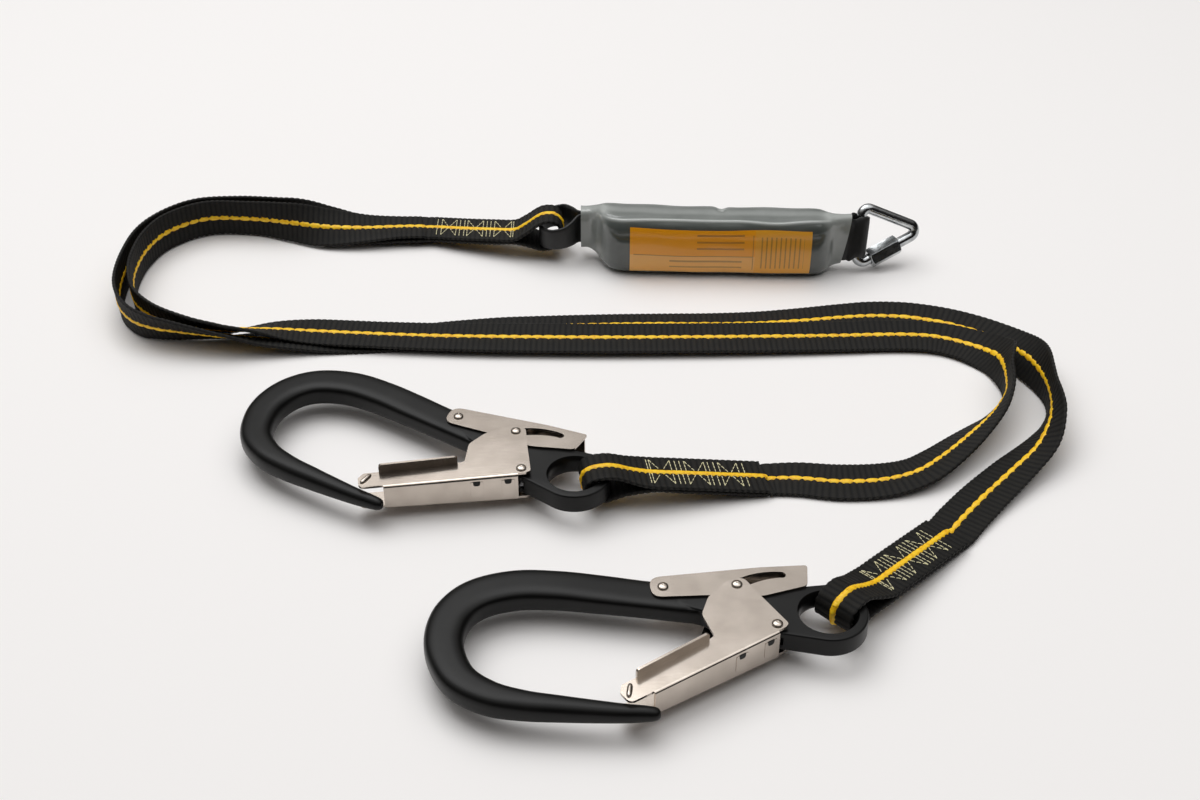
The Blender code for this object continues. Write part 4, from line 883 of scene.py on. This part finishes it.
def centre_eye():
    """Folded middle of the webbing, sewn beyond the absorber's eye."""
    shoulder = [mm(12.0, 1.6), mm(7.4, 5.4), mm(3.5, 8.8), mm(-1.0, 11.6)]
    run_end = CENTRE_LOOP_HOLD.x - CENTRE_LOOP_START
    slope = CENTRE_LOOP_Y - CENTRE_LOOP_HOLD.y
    reach, join = CENTRE_LOOP["reach"] * MM, CENTRE_LOOP["join"] * MM

    def width_at(run):
        share = min(max((run + reach) / (join + reach), 0.0), 1.0)
        return (CENTRE_LOOP_NARROW + (1 - CENTRE_LOOP_NARROW) * share) * WEB_WIDTH / 2

    def place_of(p):
        share = min(max(p.x / run_end, 0.0), 1.0)
        return CENTRE_LOOP_HOLD + SHIFT + Vector((-p.x, slope * share ** 1.3 - p.y, p.z))

    tab_drop = CENTRE_LOOP_HOLD.z - CENTRE_LOOP_START_Z
    line = loop_line(CENTRE_LOOP, CENTRE_LOOP_DROP, shoulder, run_end, tab_drop)
    sewn_eye("centre_eye_strap", line, width_at, place_of, lambda bar: run_end - bar - CENTRE_STITCH_SHIFT,
             LEG_RIB, "centre_loop")


leg("a", LEG_A_ROUTE, HOOK_A, 1)
leg("b", LEG_B_ROUTE, HOOK_B, -1)
hook_eye("a", HOOK_A)
hook_eye("b", HOOK_B)
centre_eye()
scatter("stripes", BEADS, bead_mesh(), "stripe")
scatter("stitching", STITCHES, stitch_mesh(), "thread")


# Absorber sections: x, middle y, middle z, half depth, half height, squareness
SLEEVE_STATIONS = [
    (-14.0, 1062.8, 25.0, 6.8, 15.8, 4.0), (-8.0, 1062.4, 25.0, 7.0, 16.2, 3.6),
    (-3.0, 1060.0, 24.8, 9.6, 18.6, 2.7), (2.0, 1055.0, 24.4, 14.0, 21.4, 2.9),
    (9.0, 1051.0, 24.0, 16.6, 23.0, 3.2), (22.0, 1049.0, 23.8, 17.2, 23.3, 3.4),
    (60.0, 1047.0, 23.5, 16.8, 23.0, 3.4), (100.0, 1045.4, 23.5, 16.4, 23.0, 3.4),
    (140.0, 1043.6, 23.8, 16.0, 23.2, 3.4), (156.0, 1042.8, 24.0, 15.4, 23.2, 3.2),
    (164.0, 1043.0, 24.0, 12.6, 22.4, 2.9), (169.0, 1044.0, 24.2, 8.6, 21.4, 2.7),
    (174.0, 1045.0, 24.4, 6.8, 20.6, 2.6), (179.0, 1046.0, 24.6, 6.4, 20.2, 2.6)]


def bell(value, centre, width):
    return exp(-((value - centre) / width) ** 2)


def film_ring(row, count, inset=0.0):
    """Place and paleness of each point of one section: ridges at the corners, a hollow top. The paleness is
    partly painted light: a lighter top face, painted highlights on the corner ridges and the nick, and a
    painted floor reflection on the lower ridge.
    """
    x, y, z, half_y, half_z, power = row
    run = x / MM
    wave = 2.4 * sin(run / 17.0 + 0.6) + 1.6 * sin(run / 9.0)
    body = 1.0 / (1.0 + exp(-(run - 4.0) / 1.8)) / (1.0 + exp((run - 163.0) / 1.8))
    lean = 3.0 * MM / (1.0 + exp((170.0 - run) / 2.0))
    points = []
    for i, (u, v) in enumerate(superellipse(half_y - inset, half_z - inset, power / MM, count)):
        angle = 360 * (i + 0.5) / count
        front, back, low, hollow = (bell(angle, centre, width) * body for centre, width in (
            (124.0 + wave, 4.0), (58.0, 4.5), (234.0 - 0.6 * wave, 5.0), (91.0, 24.0)))
        nick = bell(run, 88.0, 3.4) * bell(angle, 62.0, 13.0)
        lift = 0.9 * front + 0.6 * back + 0.4 * low - 1.3 * hollow - 2.2 * nick
        lift += 0.25 * sin(run / 6.5 + angle / 30) * body
        way = Vector((u, v)).normalized() * lift * MM
        # Painted light: the top face (90) is lighter, the front and back ridges and the nick carry painted
        # highlights, and the lower ridge a painted floor reflection; the ends, where body falls, are paler
        # film
        shade = 0.12 + 0.5 * bell(angle, 90.0, 36.0) + 0.75 * front + 0.3 * back + 0.45 * low
        shade += 0.5 * (1 - body) + 0.5 * nick
        points.append((Vector((x + lean * v / half_z, y + u + way.x, z + v + way.y)) + SHIFT, shade))
    return points


def absorber_film():
    """The film, with ends that turn in, and the folded webbing in it."""
    rows = smooth_through([mm(*row) for row in SLEEVE_STATIONS], 230)
    rings = [film_ring(row, FILM_POINTS, FILM_THICK) for row in (rows[6], rows[0])]
    rings += [film_ring(row, FILM_POINTS) for row in rows]
    rings += [film_ring(row, FILM_POINTS, FILM_THICK) for row in (rows[-1], rows[-7])]
    data = loft([[place for place, shade in ring] for ring in rings], capped=False)
    # Paleness per point, partly painted light from film_ring
    layer = data.attributes.new("pale", "FLOAT", "POINT")
    layer.data.foreach_set("value", [shade for ring in rings for place, shade in ring])
    piece("absorber_film", data, "sleeve", "absorber", 60.0, "absorber_sleeve")
    stack = [[place for place, shade in film_ring(row, 60, STACK_INSET)] for row in rows[16:-16:4]]
    piece("absorber_stack", loft(stack), "tape", "absorber", 50.0, "absorber_tear_webbing")


def label_on_film():
    """Label laid on the film's near face, wavy as the film under it."""
    fine = smooth_through([mm(*row) for row in SLEEVE_STATIONS], 400)
    rows = [row for row in fine if LABEL_START <= row[0] <= LABEL_END][::2]
    grid = []
    for x, y, z, half_y, half_z, power in rows:
        run = x / MM
        line = []
        for k in range(LABEL_LEVELS + 1):
            share = k / LABEL_LEVELS
            height = (-0.80 + (1.54 + 0.02 * sin(run / 15)) * share) * half_z
            depth = half_y * max(1 - abs(height / half_z) ** (power / MM), 0.0) ** (MM / power)
            ripple = 0.25 * MM * sin(run / 8.5 + 3 * share)
            line.append(Vector((x, y - depth - LABEL_LIFT - ripple, z + height)) + SHIFT)
        grid.append(line)
    data = loft(grid, False, False, lambda i, k: (i / (len(rows) - 1), k / LABEL_LEVELS))
    data = worked(data, "SOLIDIFY", thickness=LABEL_THICK, offset=0.0)
    piece("absorber_label_film", data, "label", "absorber", 40.0, "absorber_label")


def tape_loop(name, rows, replaced):
    """Flat tape through rows of (place, half width vector)."""
    fine = smooth_through([(*place, *half) for place, half in rows], 150)
    strip = Strip([Vector(row[:3]) + SHIFT for row in fine], [Vector(row[3:]) for row in fine])
    piece(name, strip.mesh(TAPE_SECTION, EYE_BAND_THICK, 0.05, 0.006), "tape", "absorber", 60.0, replaced)


def leg_side_tape():
    """The tear webbing's end loop round the centre loop."""
    x, y, z = CENTRE_LOOP_HOLD / MM
    hold = EYE_HOLD_HALF / MM
    rows = [(0.7, 1064.4, 25, 12.2), (-8, 1064.8, 25, 12.2), (-15.5, 1065.3, 25, 12.0),
            (-21, 1074, 24, 11.4), (-27, 1082.4, 22.6, 10.0), (-36, 1083.4, 21.2, 8.6),
            (x + 0.3, y + 9.5, z, hold), (x, y, z, hold),
            (x + 0.3, y - 9.5, z, hold), (-36, 1050.6, 21.0, 8.2), (-27, 1051, 22.0, 8.8),
            (-21, 1054.6, 23.4, 10.0), (-15.5, 1060.3, 24.8, 11.6), (-8, 1060.0, 25, 12.2),
            (0.7, 1059.6, 25, 12.2)]
    tape_loop("absorber_leg_tape", [(mm(*row[:3]), mm(0, 0, row[3])) for row in rows],
              "absorber_eye_leg_side")


def link_side_tape():
    """The tear webbing's end loop round the link's near bar, which it lies along."""
    bar = (LINK_TOP - LINK_FOOT).normalized()
    middle = (LINK_TOP + LINK_FOOT) / 2
    room = LINK_WIRE_R + GAP + EYE_BAND_THICK / 2
    into = Vector((-1.0, 0.0, 0.0))
    into = (into - bar * into.dot(bar)).normalized()
    side = bar.cross(into)
    entry = []
    for x, y, z, spread, half, share in (
            (164.3, 1043.2, 24.2, 2.6, 16.5, 0.0), (174.0, 1045.0, 24.4, 2.7, 16.5, 0.0),
            (180.0, 1046.2, 24.7, 3.2, 16.2, 0.1), (182.2, 1047.0, 25.0, 4.2, 15.8, 0.6),
            (184.2, 1047.8, 25.2, 4.9, 15.4, 1.0)):
        way = (Vector((0, 0, 1 - share)) + bar * share).normalized()
        entry.append((mm(x, y, z), mm(0, spread, 0), way * half * MM))
    rows = [(spot + spread, half) for spot, spread, half in entry]
    for k in range(9):
        angle = radians(-104 + 208 * k / 8)
        rows.append((middle - into * (room * cos(angle)) + side * (room * sin(angle)), bar * LINK_TAPE_HALF))
    rows += [(spot - spread, half) for spot, spread, half in reversed(entry)]
    tape_loop("absorber_link_tape", rows, "absorber_eye_link_side")


absorber_film()
label_on_film()
leg_side_tape()
link_side_tape()


# Hooks, built once in their own frame

def forging():
    """Tapering bar round the ring, flat spine and eye, in black coated steel."""
    stations = [
        (-70.5, -47.0, 3.4, 3.8, 2.0), (-71.3, -46.95, 5.4, 5.8, 2.0), (-73.5, -46.6, 7.4, 7.6, 2.0),
        (-80, -45.6, 8.6, 9.2, 2.1), (-90, -44.0, 9.8, 10.2, 2.2), (-104, -41.0, 11.4, 11.6, 2.3),
        (-122, -36.8, 13.4, 13.2, 2.4), (-140, -32.2, 15.2, 14.4, 2.6), (-157, -25.0, 17.4, 15.0, 3.0),
        (-171, -12.0, 19.6, 15.0, 3.2), (-177.3, 6.0, 21.0, 15.0, 3.4), (-177.2, 23.0, 21.8, 15.0, 3.6),
        (-170.5, 39.0, 22.4, 15.0, 3.8), (-157, 50.0, 23.0, 15.0, 4.0), (-136, 54.0, 23.0, 15.0, 4.0),
        (-113, 50.9, 22.6, 14.6, 4.0), (-90, 44.8, 22.4, 13.4, 4.2), (-68, 38.3, 21.4, 12.5, 4.6),
        (-42, 30.8, 21.0, 12.5, 5.0), (-30, 27.8, 20.0, 12.4, 5.5)]
    rows = smooth_through([mm(*row) for row in stations], 190)
    rings = []
    for i, (x, y, width, thick, power) in enumerate(rows):
        along = Vector((rows[min(i + 1, len(rows) - 1)] - rows[max(i - 1, 0)])[:2]).normalized()
        rings.append([Vector((x - along.y * u, y + along.x * u, v))
                      for u, v in superellipse(width / 2, thick / 2, power / MM, 48)])
    half = BODY_THICK / 2 + GAP
    flare = [(EYE_HOLE_R + EYE_FLARE * abs(i / 6 - 1) ** 3, (i / 6 - 1) * half) for i in range(13)]
    body = combine("UNION", loft(rings), eye_plate())
    return combine("DIFFERENCE", body, lathe(flare, 72, EYE_CENTRE), bore((0, 0)), bore(LEVER_PIVOT),
                   spring_slot(GATE_SPRING_SLOT, (0, 0)), spring_slot(LEVER_SPRING_SLOT, LEVER_PIVOT))


def eye_plate():
    """Flat neck and eye: round the gate's web, the hole's wall and the guide pin's path."""
    lower = smooth_through([(-50, 27.0), (-43, 22.0), (-36, 18.0), (-25, 8.6), (-13, 1.6)], 22)
    upper = smooth_through([(-18.2, 29.2), (-20.8, 29.4), (-23.0, 31.0), (-24.6, 34.0), (-26.6, 37.0),
                            (-30.0, 39.4), (-38, 41.6), (-50, 42.0)], 24)
    outline = [point * MM for point in lower]
    outline += arc_points((0, 0), WEB_FACE - GATE_SHEET - 2 * GAP, 255, 290, 5)
    outline += arc_points(EYE_CENTRE, EYE_HOLE_R + EYE_WALL, 248, 440, 72)
    outline += arc_points((0, 0), GUIDE_PIN.length - RIVET_R - 2 * GAP, 66, 116, 24)
    outline += [point * MM for point in upper]
    return worked(prism(outline, -BODY_THICK / 2, BODY_THICK / 2), "BEVEL", width=EYE_EDGE_ROUND, segments=6,
                  limit_method="ANGLE", angle_limit=radians(60), use_clamp_overlap=True)


def bore(point):
    """Cutter for a rivet's hole, through every sheet."""
    return lathe([(RIVET_R + GAP, -HOOK_PLANE_Z), (RIVET_R + GAP, HOOK_PLANE_Z)], 32, point)


def spring_slot(corners, origin):
    return prism([mm(*corner) + Vector(origin) for corner in corners], -SPRING_SLOT_HALF, SPRING_SLOT_HALF)


def gate_point(run, out, up=None):
    """Place from the gate's pivot along its line, out from it, and up if given."""
    spot = GATE_ALONG * run + GATE_OUT * out
    return spot if up is None else Vector((spot.x, spot.y, up))


def gate_height(point):
    return GATE_HALF_HEIGHT - GATE_TAPER * Vector(point[:2]).dot(GATE_ALONG)


def cheek_outline():
    """Gate's cheek: over the lever, round the pivot, along the fold and back at the tip."""
    corners = [(-35.0, -3.8, 2.0), (-38.8, 13.0, 8.0), (-33.0, 25.6, 10.0), (-20.5, 36.8, 5.0),
               (-11.0, 38.2, 5.0), (-4.2, 22.2, 30.0), (6.2, -0.4, 3.0)]
    fold = (WEB_FACE - BEND_R) / MM
    flange_fold = (FLANGE_FACE + GATE_SHEET * 0.4) / MM
    start, end = FLANGE_START / MM, FLANGE_END / MM
    for run, out, radius in ((-2.6, fold, 2.0), (97.0, fold, 4.0), (97.5, -4.5, 3.0), (94.0, -8.6, 2.0),
                             (end + 1.5, flange_fold + FLANGE_LEAN * (end - start), 1.0),
                             (start - 2.0, flange_fold, 0.0)):
        corners.append((*gate_point(run, out), radius))
    return rounded(corners)


def gate_shell():
    """Cheek, bend, web and flange on each side, joined along the middle."""
    outline = cheek_outline()
    inner, root = WEB_FACE - GATE_SHEET, WEB_FACE - BEND_R
    parts = []
    for side in (1, -1):
        parts.append(prism(outline, lambda p: side * (gate_height(p) - GATE_SHEET),
                           lambda p: side * gate_height(p)))
        rings = []
        for run in (WEB_START, WEB_END):
            high = gate_height(gate_point(run, 0))
            ring = [(inner, 0.0), (WEB_FACE, 0.0)]
            ring += arc_points((root, high - BEND_R), BEND_R, 0, 90, 6)
            ring += [(root - BEND_LAP, high), (root - BEND_LAP, high - GATE_SHEET)]
            ring.append((inner, high - GATE_SHEET))
            rings.append([gate_point(run, out, up * side) for out, up in ring])
        parts += [loft(rings), gate_flange(side)]
    return combine("DIFFERENCE", combine("UNION", *parts), bore((0, 0)), bore(GUIDE_PIN))


def gate_flange(side):
    """Leaf bent up from a cheek's inner edge."""
    ends = (FLANGE_START, FLANGE_END)
    near, far = ((gate_height(gate_point(run, 0)) - GATE_SHEET * 0.6) / MM for run in ends)
    start, end, top, corner = (value / MM for value in (*ends, FLANGE_TOP, FLANGE_ROUND))
    outline = rounded([(start, near, 0), (end, far, 0), (end, top, corner), (start, top, corner)], 8)
    return loft([[gate_point(run, face + FLANGE_LEAN * (run - FLANGE_START), height * side)
                  for run, height in outline] for face in (FLANGE_FACE, FLANGE_FACE + GATE_SHEET)])


def web_parts():
    """The web's lanced tabs, and the hole in each as a thin dark plate that is painted shade of the opening,
    by name.
    """
    parts = {}
    for number, centre in enumerate(TAB_RUNS, 1):
        for kind, (top, low, lifts) in TAB_PARTS.items():
            outline = rounded([(-top[0], *top[1:]), top, low, (-low[0], *low[1:])], 6)
            parts[f"web_{kind}_{number}"] = loft([[gate_point(centre * MM + x, WEB_FACE + lift * MM, y)
                                                   for x, y in outline] for lift in lifts])
    return parts


def tip_rib():
    """Pressed rib across the gate's tip."""
    top = Vector((0, 0, GATE_HALF_HEIGHT - GATE_TAPER * TIP_RIB_RUN))
    points = [TIP_RIB_ENDS[0].lerp(TIP_RIB_ENDS[1], k / 12) + top for k in range(13)]
    return tube(points, [TIP_RIB_R * max(1 - (k / 6 - 1) ** 4, 0.05) ** 0.5 for k in range(13)], 16)


def lever_outline():
    x, y = LEVER_PIVOT / MM
    back, end = LEVER_BACK_Y / MM, LEVER_BACK_END / MM
    return rounded([(x - 7.0, y - 7.2, 7.0), (-31.0, 28.8, 20.0), (-3.0, 24.4, 20.0), (end - 1.5, 29.6, 4.0),
                    (end + 2.0, back - 1.2, 2.0), (0.0, back + 0.4, 20.0), (x - 7.0, back, 8.0)])


def lever_slot():
    """Slot for the guide pin: the open gate's arc, and the way into it from the locked notch."""
    room = RIVET_R + GAP

    def in_lever(share):
        swing = Matrix.Rotation(radians(-GATE_OPEN_DEG * share), 2)
        press = Matrix.Rotation(radians(LEVER_PRESS_DEG * share), 2)
        return LEVER_PIVOT + press @ (swing @ GUIDE_PIN - LEVER_PIVOT)

    centre = LEVER_PIVOT - Matrix.Rotation(radians(LEVER_PRESS_DEG), 2) @ LEVER_PIVOT
    start = degrees(atan2(GUIDE_PIN.y, GUIDE_PIN.x)) + LEVER_PRESS_DEG
    end = start - GATE_OPEN_DEG - SLOT_EXTRA_DEG
    radius = GUIDE_PIN.length
    outline = arc_points(centre, radius + room, start - 1.5, end, 24)
    tip = centre + Vector((cos(radians(end)), sin(radians(end)))) * radius
    outline += arc_points(tip, room, end - 20, end - 160, 10)
    for i in range(17):
        share = 1.0 - i / 16
        here = in_lever(share)
        ahead = in_lever(share - 0.02) - here
        inward = Vector((ahead.y, -ahead.x)).normalized()
        outline.append(here + (inward if inward.y < 0 else -inward) * room)
    outline += arc_points(GUIDE_PIN, room, 285, 150, 14)
    return prism(outline, -HOOK_PLANE_Z, HOOK_PLANE_Z)


def lever():
    """U of sheet: a cheek each side of the spine, and the back that joins them."""
    inner = BODY_THICK / 2 + GAP
    outer = inner + LEVER_SHEET
    outline = lever_outline()
    low = LEVER_BACK_Y - LEVER_SHEET - LEVER_BACK_INSET
    reach = outer - LEVER_SHEET * 0.4
    back = prism([(LEVER_BACK_START, low), (LEVER_BACK_END, low), (LEVER_BACK_END, low + LEVER_SHEET),
                  (LEVER_BACK_START, low + LEVER_SHEET)], -reach, reach)
    whole = combine("UNION", prism(outline, inner, outer), prism(outline, -outer, -inner), back)
    return combine("DIFFERENCE", whole, bore(LEVER_PIVOT), lever_slot())


def rivet(seat_height, place):
    """Shaft with a domed head at both ends, each with the set's shallow ring."""
    seat = seat_height + RIVET_STAND
    upper = [(RIVET_R, seat - 0.1 * MM), (RIVET_HEAD_R * 0.97, seat)]
    for i in range(8):
        angle = radians(8 + 74 * i / 7)
        upper.append((RIVET_HEAD_R * cos(angle), seat + RIVET_HEAD_H * sin(angle)))
    upper.append((RIVET_HEAD_R * 0.1, seat + RIVET_HEAD_H * 0.96))
    return lathe([(r, -z) for r, z in reversed(upper)] + upper, 40, place, RIVET_HEAD_H * 0.01)


def hooks():
    """Both hooks from one set of shapes: mesh, finish, body, smoothing angle and the CAD node replaced."""
    lever_seat = BODY_THICK / 2 + GAP + LEVER_SHEET
    gate, arm = "_gate_assembly", "_lever_assembly"
    shapes = {
        "forged_body": (forging(), "forging", "", 28.0, "body"),
        "gate_sheet": (eased(gate_shell(), GATE_EDGE_ROUND), "stainless", gate, 28.0, "gate"),
        "lever_sheet": (eased(lever(), LEVER_EDGE_ROUND), "stainless", arm, 28.0, "lock_lever"),
        "pivot_rivet": (rivet(GATE_HALF_HEIGHT, (0, 0)), "stainless", "", 40.0, "gate_rivet"),
        "lever_pivot_rivet": (rivet(lever_seat, LEVER_PIVOT), "stainless", "", 40.0, "lever_rivet"),
        "slot_pin": (rivet(gate_height(GUIDE_PIN), GUIDE_PIN), "stainless", gate, 40.0, "guide_pin"),
        "tip_rib": (tip_rib(), "stainless", gate, 60.0)}
    for name, data in web_parts().items():
        # The holes take the black coat: painted shade standing for the opening behind each tab
        shapes[name] = (eased(data, TAB_EDGE_ROUND), "stainless" if "tab" in name else "forging", gate, 40.0)
    for letter, hook in (("a", HOOK_A), ("b", HOOK_B)):
        stand = hook_point(hook, (0.0, 0.0)) + SHIFT
        place = Matrix.Translation(stand) @ Matrix.Rotation(radians(hook["turn"]), 4, "Z")
        for name, (data, finish, part, smooth_deg, *replaced) in shapes.items():
            own = data.copy()
            own.transform(place)
            piece(f"hook_{letter}_{name}", own, finish, f"hook_{letter}{part}", smooth_deg,
                  *(f"hook_{letter}_{item}" for item in replaced))


hooks()


# Quick link

def link_corner(before, corner, after):
    """Arc that rounds a corner of the bar's path."""
    way_in = (before - corner).normalized()
    way_out = (after - corner).normalized()
    half = way_in.angle(way_out) / 2
    centre = corner + (way_in + way_out).normalized() * (LINK_CORNER_R / sin(half))
    start = corner + way_in * (LINK_CORNER_R / tan(half)) - centre
    end = corner + way_out * (LINK_CORNER_R / tan(half)) - centre
    axis = start.cross(end).normalized()
    turn = start.angle(end) / LINK_CORNER_STEPS
    return [centre + Matrix.Rotation(turn * k, 3, axis) @ start for k in range(LINK_CORNER_STEPS + 1)]


def quick_link():
    """Bent bar with both its ends inside the nut, drawn plain without thread, and the chamfered hexagonal
    nut.
    """
    way = (LINK_APEX - LINK_FOOT).normalized()
    middle = LINK_FOOT.lerp(LINK_APEX, NUT_PLACE)
    gap_start = middle - way * (NUT_LENGTH / 2 - LINK_END_IN_NUT)
    points = [gap_start]
    for corners in ((LINK_APEX, LINK_FOOT, LINK_TOP), (LINK_FOOT, LINK_TOP, LINK_APEX),
                    (LINK_TOP, LINK_APEX, LINK_FOOT)):
        points += link_corner(*corners)
    points.append(gap_start + way * LINK_GAP)
    bar = tube([point + SHIFT for point in points], [LINK_WIRE_R] * len(points), 32)
    piece("link_bar", bar, "zinc", "quick_link", 50.0, "quick_link_body")
    corner_r = NUT_FLATS / sqrt(3)
    end, face = NUT_LENGTH / 2, NUT_FLATS / 2 * NUT_FACE_SHARE
    angles = [radians(60 * k + NUT_TURN) for k in range(6)]
    hexagon = prism([(corner_r * cos(a), corner_r * sin(a)) for a in angles], -end, end)
    wide, slant = corner_r * NUT_CORNER_SHARE, end - NUT_CHAMFER
    slanted = [(face, -end), (wide, -slant), (wide, slant), (face, end)]
    nut = combine("INTERSECT", hexagon, lathe(slanted, 64))
    hole = LINK_WIRE_R + GAP
    nut = combine("DIFFERENCE", nut, lathe([(hole, -NUT_LENGTH), (hole, NUT_LENGTH)], 48))
    nut = eased(nut, NUT_EDGE_ROUND)
    nut.transform(Matrix.Translation(middle + SHIFT) @ way.to_track_quat("Z", "Y").to_matrix().to_4x4())
    piece("link_nut", nut, "zinc", "quick_link_nut", 25.0, "quick_link_nut")


quick_link()

SLOTS = {part["node"]: part["material_slot"] for part in frame["record"]["subparts"]}
for name, made in frame["nodes"].items():
    for slot in made.material_slots:
        slot.material = FINISH.get(SLOTS[name], FINISH["tape"])


# Camera, floor and light

def lamp(name, spot, size, power):
    light = bpy.data.lights.new(name, "AREA")
    light.size = size
    light.energy = power
    made = shown(name, light)
    made.location = spot
    made.rotation_euler = (-Vector(spot)).to_track_quat("-Z", "Y").to_euler()


def world():
    """Light of a pale room: brightest overhead, dark low down on the right and on the camera's side."""
    made = bpy.data.worlds.new("studio")
    made.use_nodes = True
    tree = made.node_tree
    tree.nodes.clear()
    way = node(tree, "ShaderNodeSeparateXYZ", Vector=node(tree, "ShaderNodeTexCoord", "Generated")).outputs
    height = node(tree, MATH, "Value", TIMES_PLUS, way["Y"], SKY_TILT_Y, way["Z"])
    height = node(tree, MATH, "Value", TIMES_PLUS, way["X"], SKY_TILT_X, height)
    shade = with_stops(node(tree, "ShaderNodeValToRGB", Fac=height),
                       [(0.28, "#1b1a19"), (0.42, "#343231"), (0.6, "#747270"), (0.8, "#c9c7c5"),
                        (0.96, "#ffffff")])
    seen = node(tree, "ShaderNodeLightPath", "Is Camera Ray")
    colour = node(tree, "ShaderNodeMix", "Result", {"data_type": "RGBA"}, Factor=seen, A=shade,
                  B=linear("#efeeed"))
    light = node(tree, "ShaderNodeBackground", "Background", Color=colour, Strength=SKY_STRENGTH)
    node(tree, "ShaderNodeOutputWorld", Surface=light)
    bpy.context.scene.world = made


def floor():
    near, far = -FLOOR_HALF, FLOOR_HALF
    data = loft([[(near, near, 0), (far, near, 0)], [(near, far, 0), (far, far, 0)]], False, False)
    data.materials.append(plain_finish("pale_floor", "#f6f4f3", Roughness=0.9))
    shown("floor", data)


def camera():
    data = bpy.data.cameras.new("camera")
    data.lens = CAMERA_LENS
    data.sensor_width = CAMERA_SENSOR
    data.clip_end = 20.0
    eye = shown("camera", data)
    eye.location = Vector((SHIFT.x, SHIFT.y, CAMERA_HEIGHT))
    eye.rotation_euler = (radians(90 - CAMERA_PITCH), 0.0, 0.0)
    bpy.context.scene.camera = eye
    bpy.context.scene.view_settings.view_transform = "Standard"


lamp("key", (-0.55, 0.75, 2.1), 1.8, 22.0)
lamp("fill", (1.0, -0.3, 2.2), 2.0, 9.0)
world()
floor()
camera()
